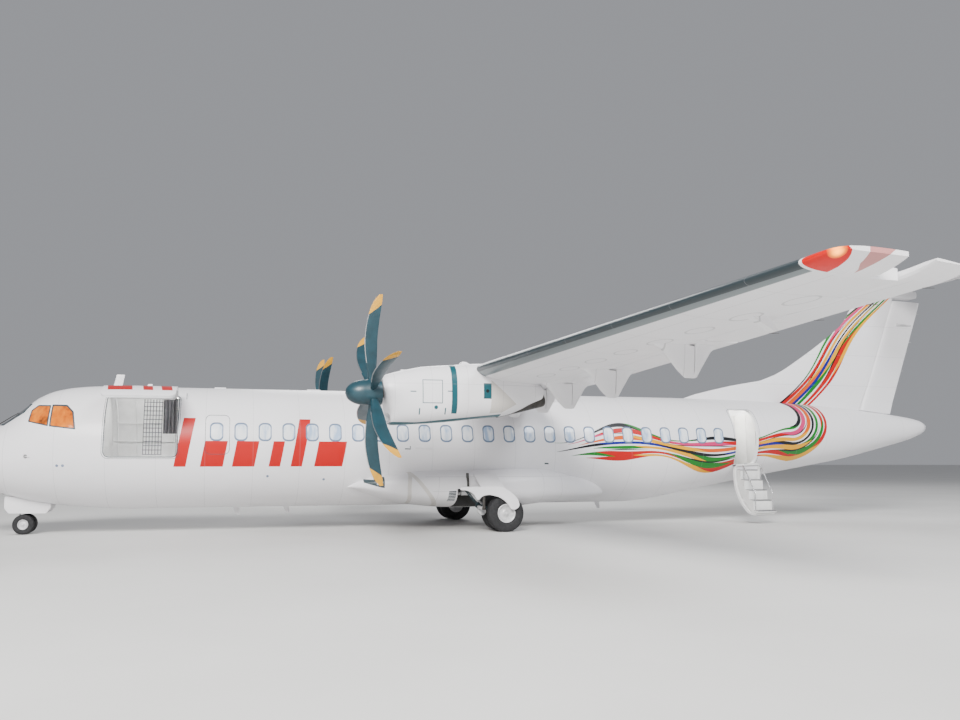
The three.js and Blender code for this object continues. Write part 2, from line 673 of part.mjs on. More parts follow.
function propellerSolid(turn) {
  const drum = turned([[0, -hubFront], [262, -hubFront], [spinnerRadius, 0], [spinnerRadius - 6, hubRear],
    [0, hubRear]], 24).rotate([0, 0, -90]);
  const blades = Array.from({ length: bladeCount }, (_, i) =>
    blade().rotate([(360 * i) / bladeCount + turn, 0, 0]));
  return joinAll([drum, ...blades]);
}

function spinnerSolid() {
  const depth = spinnerNose - hubFront - gap;
  const profile = Array.from({ length: 6 }, (_, i) => {
    const t = i / 5;
    return [262 * Math.sqrt(1 - (1 - t) ** 1.9), -spinnerNose + depth * t];
  });
  return turned([...profile, [0, profile.at(-1)[1]]], 24).rotate([0, 0, -90]);
}

function propellers() {
  for (const [side, y] of [['left', -nacelleY], ['right', nacelleY]]) {
    const group = new THREE.Group();
    group.position.set(hub.x, y, hub.z);
    group.rotation.y = -hub.tilt;
    aircraft.add(group);
    place(`propeller_${side}`, propellerSolid(bladeTurns[side]), paints.blade, group);
    place(`spinner_${side}`, spinnerSolid(), paints.blade, group);
  }
}

// Tail
// Columns: z, front station, rear station, thickness
const finRows = [
  [3080, 18560, 24590, 90],
  [3420, 18760, 24720, 150],
  [3800, 20270, 24880, 200],
  [3970, 21250, 24950, 240],
  [4350, 22150, 25105, 250],
  [5660, 24100, 25640, 235],
  [6240, 24560, 25880, 222],
  [6560, 24830, 26010, 216],
  [6900, 25080, 26140, 212],
];

function lens(z, from, to, thick, blunt) {
  const steps = 8;
  const side = (sign) => Array.from({ length: steps + 1 }, (_, i) => {
    const f = i / steps;
    const swell = Math.sin(Math.PI * Math.min(1, 0.04 + f * (blunt ? 0.62 : 0.96))) ** 0.75;
    return [mix(from, to, f), sign * (thick / 2) * swell, z];
  });
  return [...side(1), ...side(-1).reverse()];
}

function finParts() {
  const fin = loft(finRows.map(([z, from, to, thick]) => lens(z, from, to, thick, true)));
  const cap = loft([[25050, 6800, 6700, 20], [25350, 6960, 6640, 120], [26000, 6960, 6620, 150],
    [26700, 6960, 6625, 125], [27020, 6900, 6700, 40]].map((row) => ovalRing(row, 0, 2.4, 14)));
  const rudderRoom = slab([[24620, 3000], [26020, 6618], [28000, 6618], [28000, 3000]], -400, 400);
  const skin = body(17000, 27000, gap);
  const [footPin, headPin] = rudderPins.map((ends) => pinAndBore(...ends));
  place('fin', cutAll(joinAll([fin, cap.subtract(rudderRoom), headPin.pin]), [skin, tailSeat()]), paints.white);

  const rows = [[3070, 24650, 25800], [3420, 24785, 25915], [6480, 26018, 27110], [6560, 26055, 27125]];
  const rudder = loft(rows.map(([z, from, to]) => rudderRing(z, from, to, 165)));
  place('rudder', cutAll(rudder, [body(20000, 27000, 16), footPin.bore, headPin.bore]), paints.white);
}

function rudderRing(z, from, to, thick) {
  const shape = [[0, 0.35], [0.04, 0.85], [0.12, 1], [0.4, 0.72], [0.7, 0.38], [1, 0.04]];
  const side = (sign) => shape.map(([f, share]) => [mix(from, to, f), sign * (thick / 2) * share, z]);
  return [...side(1), ...side(-1).reverse()];
}

const tailRoot = { le: 25150, chord: 2016, zLe: tail.z, zTe: tail.z, thick: 0.12 };
const tailTip = { le: 25850, chord: 1270, zLe: tail.z, zTe: tail.z, thick: 0.11 };

function tailSection(y) {
  const t = Math.abs(y) / tail.halfSpan;
  const row = {};
  for (const key of Object.keys(tailRoot)) row[key] = mix(tailRoot[key], tailTip[key], t);
  return row;
}

function tailPiece(ys, from, to, options = {}) {
  return loft(ys.map((y) => flatRing(tailSection(y), y, from, to, options)));
}

function flatRing(section, y, from, to, options) {
  const level = { ...section, zTe: section.zLe };
  const ring = foilRing(level, y, from, to, options);
  return ring.map(([x, yy, z]) => [x, yy, z - level.chord * camber((x - level.le) / level.chord)]);
}

const tailSparEnd = 0.66;
const elevatorStart = 0.675;
const elevatorHinge = 0.7;

function tailSeat() {
  const grow = gap + 0.3;
  return tailPiece([-400, 0, 400], 0, tailSparEnd, { grow }).add(tailPiece([-400, 0, 400], 0.6, 1, { grow }));
}

function tailplaneParts() {
  const centre = tailPiece([-150, 0, 150], 0.6, 1, { grow: -1.5 });
  const shares = [[-tail.halfSpan, 0.3], [-3625, 0.7], [-3560, 1], [0, 1], [3560, 1], [3625, 0.7], [tail.halfSpan, 0.3]];
  const fixed = loft(shares.map(([y, share]) => {
    const section = tailSection(y);
    return flatRing({ ...section, thick: section.thick * share }, y, 0, tailSparEnd, {});
  }));
  const beacon = bar([26050, 0, tail.z + 60], [26050, 0, tail.z + 360], 70, 16, 40);
  const bullet = loft([[25000, tail.z + 60, tail.z - 40, 30], [25300, tail.z + 190, tail.z - 60, 130],
    [26100, tail.z + 215, tail.z - 60, 150], [26700, tail.z + 130, tail.z - 40, 100], [length, tail.z + 45, tail.z, 35]]
    .map((row) => ovalRing(row, 0, 2.2, 16))).subtract(box(24000, 28000, -300, 300, 6000, tail.z));
  const hingePoint = (y) => {
    const { le, chord } = tailSection(y);
    return [le + elevatorHinge * chord, y, tail.z];
  };
  const { pin, bore } = pinAndBore(hingePoint(-120), hingePoint(-235));
  place('tailplane', joinAll([fixed, centre, bullet, beacon, pin, mirrored(pin)]), paints.white);
  const elevator = tailPiece([-3560, -175], elevatorStart, 1, { rounded: true });
  placePair('elevator', elevator.subtract(bore), paints.white);
}

// Landing gear
function wheelSpool({ radius, width, spacing, axle }) {
  const rim = radius * 0.56;
  const [inner, outer] = [spacing / 2 - width * 0.4, spacing / 2 + width * 0.4];
  const half = [[axle, inner - 20], [rim, inner - 20], [rim, outer], [rim * 0.66, outer - 14]];
  const profile = [[0, -outer + 4], ...half.map(([r, y]) => [r, -y]).reverse(), ...half, [0, outer - 4]];
  return turned(profile, 24);
}

function tyreSolid({ radius, width }) {
  const bore = (radius * 0.56 + gap) / Math.cos(Math.PI / 28);
  const [w, r] = [width / 2, radius];
  const side = [[bore, 0.84], [mix(bore, r, 0.45), 1], [mix(bore, r, 0.88), 0.84], [r, 0.5]];
  const profile = [...side.map(([q, s]) => [q, -w * s]), ...side.reverse().map(([q, s]) => [q, w * s]), [bore, -w * 0.84]];
  return turned(profile, 28);
}

function placeWheels(name, gear, x, y) {
  const group = new THREE.Group();
  group.position.set(x, y, gear.radius);
  aircraft.add(group);
  place(name, wheelSpool(gear), paints.gear, group);
  const sides = y < 0 ? ['outer', 'inner'] : ['inner', 'outer'];
  const labels = y === 0 ? ['left', 'right'] : sides;
  labels.forEach((label, i) => {
    const mesh = place(`${name.replace('wheels', 'tyre')}_${label}`, tyreSolid(gear), paints.tyre, group);
    mesh.position.y = (i * 2 - 1) * (gear.spacing / 2);
  });
}

function mainGearParts() {
  const { x, y, radius, axle } = mainGear;
  const knee = [12010, -y, 470];
  const shoulder = [11740, -1560, 900];
  const trunnionY = -1330;
  const trunnion = bar([wheelWell.from + gap, trunnionY, 890], [wheelWell.to - gap, trunnionY, 890], 62, 12);
  const leg = joinAll([
    trunnion,
    bar([11740, trunnionY, 890], shoulder, 75, 10),
    bar([11740, trunnionY, 890], [knee[0], knee[1] + 20, knee[2]], 78, 10),
    bar(shoulder, knee, 70, 10),
    bar([knee[0], -y - 68, knee[2]], [knee[0], -y + 68, knee[2]], 85, 14),
    bar(knee, [x, -y, radius], 62, 10),
    bar([x, -y - 66, radius], [x, -y + 66, radius], 105, 20),
  ]);
  const bearing = bar([x, -y - 80, radius], [x, -y + 80, radius], axle + 0.9, 24);
  const lug = box(11900, 11990, -2385, -y + 10, 520, 590);
  const lugLink = box(11900, 11990, -y - 40, -y + 20, 440, 600);
  placePair('main_gear_leg', joinAll([leg, lugLink]).subtract(bearing).add(lug.subtract(bearing)), paints.gear);

  for (const [side, sign] of [['left', -1], ['right', 1]]) placeWheels(`main_wheels_${side}`, mainGear, x, sign * y);

  // The leg door: an arch over the outer wheel, and a panel that leans in to its hinge on the fairing
  const outer = [[11370, 1030], [11510, 1050], [12190, 1055], [12410, 1030], [12630, 900], [12780, 740],
    [12800, 590], [12700, 520]];
  const inner = [[12610, 530], [12480, 700], [12310, 810], [12090, 860], [11920, 840], [11800, 750],
    [11700, 877], [11560, 958], [11390, 980]];
  const plate = slab([...outer, ...inner], -2440, -2412);
  const outward = [[-2440, 1010], [-2412, 985], [-1790, 1300], [-1790, 1340], [-1815, 1340]];
  const lean = crossSlab(outward, 11900, 12460);
  const arm = box(11900, 11990, -2413, -2385 - gap, 520, 590).add(box(11900, 11990, -2440, -2405, 520, 960));
  placePair('main_gear_door', joinAll([plate, lean, arm]), paints.white);
}

function noseGearParts() {
  const { x, radius, axle } = noseGear;
  const strut = { low: 560, top: noseWell.top - gap };
  place('nose_gear_leg', joinAll([
    bar([x, 0, strut.low], [x, 0, strut.top], 70, 20),
    bar([x, 0, 1000], [2300, 0, 1290], 38, 12),
    box(2240, 2330, -200, 200, 1250, strut.top),
  ]), paints.gear);
  const bearing = bar([x, -80, radius], [x, 80, radius], axle + 0.6, 24);
  place('nose_gear_fork', joinAll([
    bar([x, 0, radius + 10], [x, 0, strut.low - gap], 48, 20),
    bar([x, -52, radius], [x, 52, radius], 62, 24),
    box(x - 130, x - 40, -30, 30, 300, 345),
    box(x - 130, x - 95, -30, 30, 300, 520),
  ]).subtract(bearing), paints.gear);
  placeWheels('nose_wheels', noseGear, x, 0);
  const y = -noseWell.half + gap;
  placePair('nose_gear_door', slab([[1360, 860], [2330, 780], [2330, 600], [2230, 470], [1450, 480], [1360, 600]],
    y, y + 22), paints.white);
}

// Masts, vents and lamps that stand on the body
function blades() {
  const mast = slab([[3530, 3380], [3605, 3700], [3790, 3700], [3730, 3380]], -16, 16);
  const tab = slab([[4270, 3380], [4325, 3490], [4420, 3490], [4420, 3380]], -14, 14);
  const skin = body(3300, 9000, gap);
  place('crown_antenna', mast.subtract(skin), paints.white);
  place('crown_antenna_small', tab.subtract(skin), paints.white);
}

noseParts();
fuselageParts();
cargoDoor();
passengerDoor();
fairings();
wingParts();
nacelleParts();
propellers();
finParts();
tailplaneParts();
mainGearParts();
noseGearParts();
blades();

export default aircraft;
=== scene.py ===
from math import cos, hypot, pi, radians, sin, sqrt

import bmesh
import bpy
from mathutils import Matrix, Vector
from mathutils.bvhtree import BVHTree


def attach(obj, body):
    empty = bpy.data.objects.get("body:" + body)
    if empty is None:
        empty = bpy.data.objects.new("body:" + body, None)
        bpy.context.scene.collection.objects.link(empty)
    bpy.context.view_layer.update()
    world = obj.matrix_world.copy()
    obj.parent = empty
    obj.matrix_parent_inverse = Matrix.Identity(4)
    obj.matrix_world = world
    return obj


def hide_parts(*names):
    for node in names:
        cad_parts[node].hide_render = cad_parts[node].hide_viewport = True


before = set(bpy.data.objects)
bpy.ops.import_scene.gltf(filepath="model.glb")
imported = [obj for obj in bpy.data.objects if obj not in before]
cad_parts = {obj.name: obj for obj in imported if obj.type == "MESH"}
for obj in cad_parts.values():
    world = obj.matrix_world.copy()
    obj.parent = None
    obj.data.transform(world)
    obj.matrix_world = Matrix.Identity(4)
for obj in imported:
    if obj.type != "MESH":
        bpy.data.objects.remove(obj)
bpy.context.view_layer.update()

# Stations run aft from the nose tip; the frame's origin lies at half length, on the ground.
length = 27.166
halfLength = length / 2
halfSpan = 13.525


def st(x, y, z):
    return (x - halfLength, y, z)


# Shader expressions

# one of the socket's operators, which adds a Math node
def mathNode(operation):
    return lambda sock, *others: sock.math(operation, *others)


# a socket whose Python operators turn into Math nodes
class Sock:
    def __init__(self, finish, link):
        self.finish, self.link = finish, link

    def math(self, operation, *others):
        values = {0: self.link}
        for i, other in enumerate(others):
            values[i + 1] = other.link if isinstance(other, Sock) else other
        return self.finish.node("ShaderNodeMath", {"operation": operation}, values)

    def __rsub__(self, other):
        return self.math("MULTIPLY", -1.0).math("ADD", other)

    __add__ = __radd__ = mathNode("ADD")
    __mul__ = __rmul__ = mathNode("MULTIPLY")
    __sub__ = mathNode("SUBTRACT")
    __truediv__ = mathNode("DIVIDE")
    __pow__ = mathNode("POWER")
    __gt__ = mathNode("GREATER_THAN")
    __lt__ = mathNode("LESS_THAN")
    __abs__ = mathNode("ABSOLUTE")
    sin = mathNode("SINE")
    frac = mathNode("FRACT")
    low = mathNode("MINIMUM")
    high = mathNode("MAXIMUM")


# one material, with its Principled shader and the nodes that feed it
class Finish:
    def __init__(self, name, **sockets):
        self.material = bpy.data.materials.new(name)
        self.material.use_nodes = True
        self.tree = self.material.node_tree
        self.shader = next(n for n in self.tree.nodes if n.type == "BSDF_PRINCIPLED")
        self.set(**sockets)

    # a value, or another node's output, on an input
    def feed(self, socket, value):
        value = value.link if isinstance(value, Sock) else value
        if isinstance(value, bpy.types.NodeSocket):
            self.tree.links.new(value, socket)
        elif socket.type == "RGBA":
            socket.default_value = (*value[:3], 1)
        else:
            socket.default_value = value

    def set(self, **sockets):
        for name, value in sockets.items():
            self.feed(self.shader.inputs[name.replace("_", " ")], value)
        return self

    def node(self, kind, settings=None, values=None, out=0):
        made = self.tree.nodes.new(kind)
        for key, value in (settings or {}).items():
            if key == "stops":
                ramp = made.color_ramp
                while len(ramp.elements) < len(value):
                    ramp.elements.new(0.5)
                for element, (place, tone) in zip(ramp.elements, value):
                    element.position = place
                    element.color = (*tone, 1) if isinstance(tone, tuple) else (tone, tone, tone, 1)
            else:
                setattr(made, key, value)
        for key, value in (values or {}).items():
            self.feed(made.inputs[key], value)
        return Sock(self, made.outputs[out])

    # x (as a station), y and z of the surface point
    def place(self):
        split = self.node("ShaderNodeSeparateXYZ", values={0: self.node("ShaderNodeTexCoord", out=3)})
        outs = split.link.node.outputs
        return Sock(self, outs[0]) + halfLength, Sock(self, outs[1]), Sock(self, outs[2])

    def noise(self, scale, detail=4.0, stretch=(1, 1, 1), rough=0.55):
        coords = self.node("ShaderNodeTexCoord", out=3)
        moved = self.node("ShaderNodeMapping", values={0: coords, 3: stretch})
        values = {"Vector": moved, "Scale": scale, "Detail": detail, "Roughness": rough}
        return self.node("ShaderNodeTexNoise", values=values)

    def mixed(self, share, one, two):
        return self.node("ShaderNodeMix", {"data_type": "RGBA"}, {0: share, 6: one, 7: two}, out=2)

    def ramp(self, value, *stops):
        return self.node("ShaderNodeValToRGB", {"stops": stops}, {0: value})

    def bump(self, height, strength=0.2, distance=0.002):
        return self.node("ShaderNodeBump", values={"Strength": strength, "Distance": distance, "Height": height})


# Meshes

# a new object in the scene for a mesh, a light or a camera
def linked(name, data):
    item = bpy.data.objects.new(name, data)
    bpy.context.scene.collection.objects.link(item)
    return item


# a piece on its body, smooth apart from the edges that are sharper than an angle
def pieceOf(name, mesh, finish, body="airframe", replaces=(), slot=None, angle=30):
    mesh.validate()
    finishes = finish if isinstance(finish, list) else [finish]
    mesh.materials.clear()
    for one in finishes:
        mesh.materials.append(one.material)
    mesh.polygons.foreach_set("use_smooth", [True] * len(mesh.polygons))
    mesh.set_sharp_from_angle(angle=radians(angle))
    piece = linked(name, mesh)
    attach(piece, body)
    if replaces:
        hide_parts(*replaces)
    return piece


# a piece from parts, which are points in stations and faces
def meshPiece(name, parts, finish, *args, **options):
    return pieceOf(name, meshOf(*parts, name=name), finish, *args, **options)


# points and four-sided faces over rings of equal count, and the last ring's own face
def gridOf(rings, closed=True):
    count, rows = len(rings[0]), len(rings)
    faces = []
    for r in range(rows - 1):
        for i in range(count if closed else count - 1):
            a, b = r * count + i, r * count + (i + 1) % count
            faces.append((a, b, b + count, a + count))
    return [p for ring in rings for p in ring], faces, tuple(range((rows - 1) * count, rows * count))


# points and faces of a skin over rings, with its faces turned outwards
def loft(rings, caps=True, closed=True):
    points, faces, last = gridOf(rings, closed)
    if caps:
        faces += [tuple(reversed(range(len(rings[0])))), last]
    volume = 0
    for face in faces:
        a = Vector(points[face[0]])
        for j in range(1, len(face) - 1):
            volume += a.dot(Vector(points[face[j]]).cross(Vector(points[face[j + 1]])))
    if volume < 0:
        faces = [tuple(reversed(face)) for face in faces]
    return points, faces


def together(*parts):
    points, faces = [], []
    for somePoints, someFaces in parts:
        shift = len(points)
        points += somePoints
        faces += [tuple(i + shift for i in face) for face in someFaces]
    return points, faces


def meshOf(*parts, name="part"):
    points, faces = together(*parts)
    mesh = bpy.data.meshes.new(name)
    mesh.from_pydata([st(*p) for p in points], [], faces)
    mesh.validate()
    return mesh


# one mesh less others, or what it shares with them
def cutMesh(mesh, tools, operation="DIFFERENCE"):
    item = linked("loose", mesh)
    made = [linked("loose", tool) for tool in tools]
    for tool in made:
        change = item.modifiers.new("cut", "BOOLEAN")
        change.operation, change.solver, change.object = operation, "EXACT", tool
    bpy.context.view_layer.update()
    graph = bpy.context.evaluated_depsgraph_get()
    result = bpy.data.meshes.new_from_object(item.evaluated_get(graph))
    for one in [item, *made]:
        bpy.data.objects.remove(one)
    return result


# the points and faces of a mesh under edit, which is then let go
def partOf(build):
    build.verts.index_update()
    part = [tuple(v.co) for v in build.verts], [tuple(v.index for v in f.verts) for f in build.faces]
    build.free()
    return part


def boxPart(x0, x1, y0, y1, z0, z1):
    return loft([[(x, y0, z0), (x, y1, z0), (x, y1, z1), (x, y0, z1)] for x in (x0, x1)])


# a box with rounded edges
def softBox(x0, x1, y0, y1, z0, z1, corner=0.01):
    build = bmesh.new()
    bmesh.ops.create_cube(build, size=1)
    bmesh.ops.scale(build, vec=(x1 - x0, y1 - y0, z1 - z0), verts=build.verts)
    bmesh.ops.bevel(build, geom=build.edges[:], offset=corner, segments=3, profile=0.5, affect="EDGES")
    bmesh.ops.translate(build, vec=((x0 + x1) / 2, (y0 + y1) / 2, (z0 + z1) / 2), verts=build.verts)
    return partOf(build)


# a round bar through points, with a radius at each
def tube(path, radii, sides=16, caps=True):
    radii = radii if isinstance(radii, (list, tuple)) else [radii] * len(path)
    path = [Vector(p) for p in path]
    rings = []
    side = None
    for i, point in enumerate(path):
        along = (path[min(i + 1, len(path) - 1)] - path[max(i - 1, 0)]).normalized()
        if side is None:
            side = along.cross(Vector((0, 0, 1)) if abs(along.z) < 0.9 else Vector((1, 0, 0))).normalized()
        side = (side - along * side.dot(along)).normalized()
        other = along.cross(side)
        rings.append([tuple(point + (side * cos(t) + other * sin(t)) * radii[i])
                      for t in (2 * pi * k / sides for k in range(sides))])
    return loft(rings, caps)


# a turned form round an axis, from pairs of distance along it and radius
def spun(start, axis, profile, sides=48, hollow=False):
    start, axis = Vector(start), Vector(axis).normalized()
    path = [start + axis * along for along, _ in profile]
    side = axis.cross(Vector((0, 0, 1)) if abs(axis.z) < 0.9 else Vector((1, 0, 0))).normalized()
    other = axis.cross(side)
    rings = [[tuple(p + (side * cos(t) + other * sin(t)) * max(radius, 1e-4))
              for t in (2 * pi * k / sides for k in range(sides))]
             for p, (_, radius) in zip(path, profile)]
    return loft(rings + rings[:1], caps=False) if hollow else loft(rings)


# a part with its sharp edges taken off
def edged(part, width=0.004, segments=2):
    build = bmesh.new()
    verts = [build.verts.new(p) for p in part[0]]
    for face in part[1]:
        build.faces.new([verts[i] for i in face])
    build.normal_update()
    sharp = [e for e in build.edges if len(e.link_faces) == 2 and e.calc_face_angle(0) > radians(35)]
    bmesh.ops.bevel(build, geom=sharp, offset=width, segments=segments, profile=0.5, affect="EDGES",
                    clamp_overlap=True)
    return partOf(build)


# a box with its sharp edges taken off
def slab(x0, x1, y0, y1, z0, z1, width=0.004):
    return edged(boxPart(x0, x1, y0, y1, z0, z1), width)


# an outline's corners drawn into a smooth curve through them
def curved(points, parts=5):
    result = []
    for i in range(len(points) - 1):
        a, b, c, d = (Vector(points[min(max(k, 0), len(points) - 1)]) for k in (i - 1, i, i + 1, i + 2))
        for k in range(parts):
            t = k / parts
            square, cube = 2 * a - 5 * b + 4 * c - d, 3 * b - a - 3 * c + d
            result.append(tuple(0.5 * (2 * b + (c - a) * t + square * t * t + cube * t**3)))
    return result + [tuple(points[-1])]


# an outline in y and z drawn out from x0 to x1
def crossPrism(outline, x0, x1):
    return loft([[(x, y, z) for y, z in outline] for x in (x0, x1)])


def mix(a, b, t):
    return a + (b - a) * t


# rows of a table read at any station by a smooth curve through them
def sample(rows, x):
    last = len(rows) - 1
    i = max([k for k in range(last) if rows[k][0] <= x], default=0)

    def slope(k, c):
        a, m, b = rows[max(k - 1, 0)], rows[k], rows[min(k + 1, last)]
        if 0 < k < last and (b[c] - m[c]) * (m[c] - a[c]) <= 0:
            return 0
        return (b[c] - a[c]) / (b[0] - a[0])

    width = rows[i + 1][0] - rows[i][0]
    t = min(max((x - rows[i][0]) / width, 0), 1)
    values = [x]
    for c in range(1, len(rows[0])):
        m0, m1 = slope(i, c) * width, slope(i + 1, c) * width
        values.append((2 * t**3 - 3 * t**2 + 1) * rows[i][c] + (t**3 - 2 * t**2 + t) * m0
                      + (3 * t**2 - 2 * t**3) * rows[i + 1][c] + (t**3 - t**2) * m1)
    return values


def ovalRing(row, grow=0, power=2.0, sides=96, y=0):
    x, crown, keel, halfWidth = row
    centre, halfHeight = (crown + keel) / 2, (crown - keel) / 2 + grow

    def bend(v):
        return abs(v) ** (2 / power) * (1 if v >= 0 else -1)

    return [(x, y + (halfWidth + grow) * bend(sin(a)), centre + halfHeight * bend(cos(a)))
            for a in (2 * pi * i / sides for i in range(sides))]


def between(rows, start, end, step):
    count = max(2, round((end - start) / step))
    return sorted({round(mix(start, end, i / count), 5) for i in range(count + 1)}
                  | {row[0] for row in rows if start < row[0] < end})


# The body

# columns: station, crown z, keel z, half width
bodyRows = [
    (0, 1.775, 1.7, 0.06), (0.09, 1.915, 1.56, 0.225), (0.3, 2.07, 1.37, 0.43),
    (0.7, 2.265, 1.13, 0.69), (1.2, 2.48, 0.93, 0.93), (1.73, 2.905, 0.775, 1.13),
    (2.0, 3.12, 0.72, 1.21), (2.3, 3.262, 0.67, 1.28), (2.7, 3.352, 0.625, 1.35),
    (3.2, 3.4, 0.585, 1.4), (3.8, 3.412, 0.552, 1.428), (4.4, 3.4125, 0.5475, 1.4325),
    (16.6, 3.4125, 0.5475, 1.4325), (17.6, 3.412, 0.645, 1.42), (18.5, 3.408, 0.805, 1.38),
    (19.5, 3.4, 0.985, 1.31), (20.4, 3.385, 1.14, 1.23), (21.3, 3.355, 1.29, 1.13),
    (22.5, 3.3, 1.48, 0.97), (23.9, 3.215, 1.715, 0.765), (25.3, 3.085, 2.03, 0.53),
    (26.3, 2.965, 2.27, 0.345), (26.75, 2.88, 2.42, 0.235), (26.95, 2.8, 2.52, 0.15),
    (27.0, 2.74, 2.59, 0.075),
]

cargo = {"from": 3.56, "to": 5.09, "low": 1.75, "high": 3.14, "wall": 0.06, "open": 63}
entry = {"from": 19.46, "to": 20.2, "low": 1.55, "high": 3.03, "wall": 0.06, "open": 160}


def body(start, end, grow=0, sides=96, step=0.25):
    stations = between(bodyRows, start, end, step)
    return loft([ovalRing(sample(bodyRows, x), grow, sides=sides) for x in stations])


def skinY(x, z, grow=0):
    _, crown, keel, halfWidth = sample(bodyRows, x)
    up = (z - (crown + keel) / 2) / ((crown - keel) / 2 + grow)
    return -(halfWidth + grow) * sqrt(max(0, 1 - up * up))


# a rounded rectangle in x and z
def roundedOutline(x0, x1, z0, z1, corner, steps=5):
    outline = []
    for cx, cz, start in ((x1 - corner, z1 - corner, 0), (x0 + corner, z1 - corner, 1),
                          (x0 + corner, z0 + corner, 2), (x1 - corner, z0 + corner, 3)):
        for i in range(steps + 1):
            angle = (start + i / steps) * pi / 2
            outline.append((cx + corner * cos(angle), cz + corner * sin(angle)))
    return outline


def prism(outline, y0, y1):
    return loft([[(x, y, z) for x, z in outline] for y in (y0, y1)])


# a door's outline, grown by a margin that may differ above
def doorOutline(door, grow, corner=0.11, steps=8, above=None):
    top = door["high"] + (grow if above is None else above)
    return roundedOutline(door["from"] - grow, door["to"] + grow, door["low"] - grow, top, corner, steps)


def doorway(door):
    return prism(doorOutline(door, 0), -1.63, -0.7325)


# Finishes

paint = {
    "white": (0.8, 0.79, 0.81),
    "shade": (0.58, 0.57, 0.59),
    "red": (0.44, 0.001, 0.001),
    "teal": (0.006, 0.075, 0.095),
    "black": (0.006, 0.007, 0.009),
    "yellow": (0.7, 0.33, 0.001),
    "green": (0.003, 0.16, 0.012),
    "blue": (0.003, 0.01, 0.2),
    "orange": (0.62, 0.09, 0.001),
    "pink": (0.55, 0.03, 0.14),
}


def scaled(colour, share):
    return tuple(c * share for c in colour)


# white paint with joint lines, faint streaks and grime; art returns the shares and colours laid over it
def whitePaint(name, joints=(), art=None):
    finish = Finish(name, Coat_Weight=0.08, Coat_Roughness=0.15, Specular_IOR_Level=0.35)
    x, y, z = finish.place()
    cloud = finish.noise(0.9, 5, (0.35, 1, 1.6))
    grain = finish.noise(38, 3, (1, 1, 1))
    streaks = finish.ramp(cloud, (0.42, 0.0), (0.75, 1.0)) * 0.16
    colour = finish.mixed(streaks, paint["white"], paint["shade"])
    for share, tone in (art(x, y, z) if art else ()):
        colour = finish.mixed(share, colour, tone)
    height = grain * 0.05
    for axis, start, step, width in joints:
        along = {"x": x, "y": y, "z": z}[axis]
        line = abs(((along - start) / step).frac() - 0.5) > (0.5 - width / step)
        colour = finish.mixed(line * 0.34, colour, (0.25, 0.25, 0.27))
        height = height - line * 0.6
    finish.set(Base_Color=colour, Normal=finish.bump(height, 0.25, 0.002), Roughness=cloud * 0.14 + 0.3)
    return finish


# columns: where a ribbon starts on the body, its offset, width and phase, and two tones in turn along it
ribbonRows = [
    (15.0, -0.39, 0.105, 0.0, "yellow", "red"), (14.6, -0.275, 0.115, 0.9, "red", "green"),
    (15.5, -0.195, 0.026, 0.2, "black", "black"), (15.2, -0.115, 0.105, 1.7, "green", "yellow"),
    (14.2, -0.005, 0.085, 2.6, "black", "blue"), (14.8, 0.105, 0.11, 3.3, "yellow", "orange"),
    (15.6, 0.18, 0.024, 0.6, "black", "black"), (14.5, 0.255, 0.105, 4.1, "red", "pink"),
    (14.1, 0.365, 0.07, 5.0, "black", "green"),
]


# the ribbons lie side by side across a bundle and wave along it
def ribbons(along, across, begin):
    shares = []
    for start, offset, width, phase, one, two in ribbonRows:
        swell = (along * 2.1 + phase).sin()
        place = across - offset - swell * 0.022
        grown = ((along - start) * 0.9).low(1.0).high(0.0) ** 0.7 if begin else 1.0
        share = abs(place) < grown * (swell * 0.014 + width / 2)
        later = (along * 1.7 + place * 9.0 + phase * 2.0).sin() > 0.1
        shares += [(share, paint[one]), (share * later, paint[two])]
    return shares


# the slanted bars: pairs of start and width for each, all from one height, and the two tall ones' tops
bars = {"low": 1.52, "high": 2.1, "tall": 2.62, "lean": 0.18,
        "all": [(4.75, 0.26), (5.32, 0.5), (6.02, 0.5), (6.84, 0.26), (7.34, 0.26), (7.88, 0.66)],
        "long": (4.75, 7.34)}
# where the bundle of ribbons turns up towards the fin, on an arc round a height
upturn = {"from": 21.35, "z": 3.05, "radius": 0.914}


# red slanted bars ahead of the wing, and waving ribbons behind it
def fuselageArt(x, y, z):
    shares = []
    slant = x - z * bars["lean"]
    for start, width in bars["all"]:
        top = bars["tall"] if start in bars["long"] else bars["high"]
        shares.append(((slant > start) * (slant < start + width) * (z > bars["low"]) * (z < top), paint["red"]))
    dx, dz = x - upturn["from"], z - upturn["z"]
    late = x > upturn["from"]
    arc = (dx * dx + dz * dz) ** 0.5
    before = z - (x * 1.25 - 18.6).sin() * 0.16 - 1.98
    spread = (x.low(upturn["from"]) * 2.276 + 3.08).sin() * 0.28 + 0.86
    across = (before + late * (upturn["radius"] - arc - before)) / spread
    return shares + ribbons(x + late * (z - 2.13) * 0.6, across, True)


# slanted bars on the raised door's outer face
def doorArt(x, y, z):
    slant = x + (y + 1.5) * 0.12
    return [((slant > a) * (slant < b) * (y > -2.1) * (y < -1.1), paint["red"])
            for a, b in ((3.62, 4.12), (4.34, 4.54), (4.72, 4.94))]


# the same ribbons, which cross the fin from its foot to its top
def finArt(x, y, z):
    middle = z * 0.965 + 19.075 + (z * 1.9 + 0.4).sin() * 0.16
    return ribbons(z * 0.9 + 20.03, (middle - x) * 0.72 / (1.25 - z * 0.095), False)


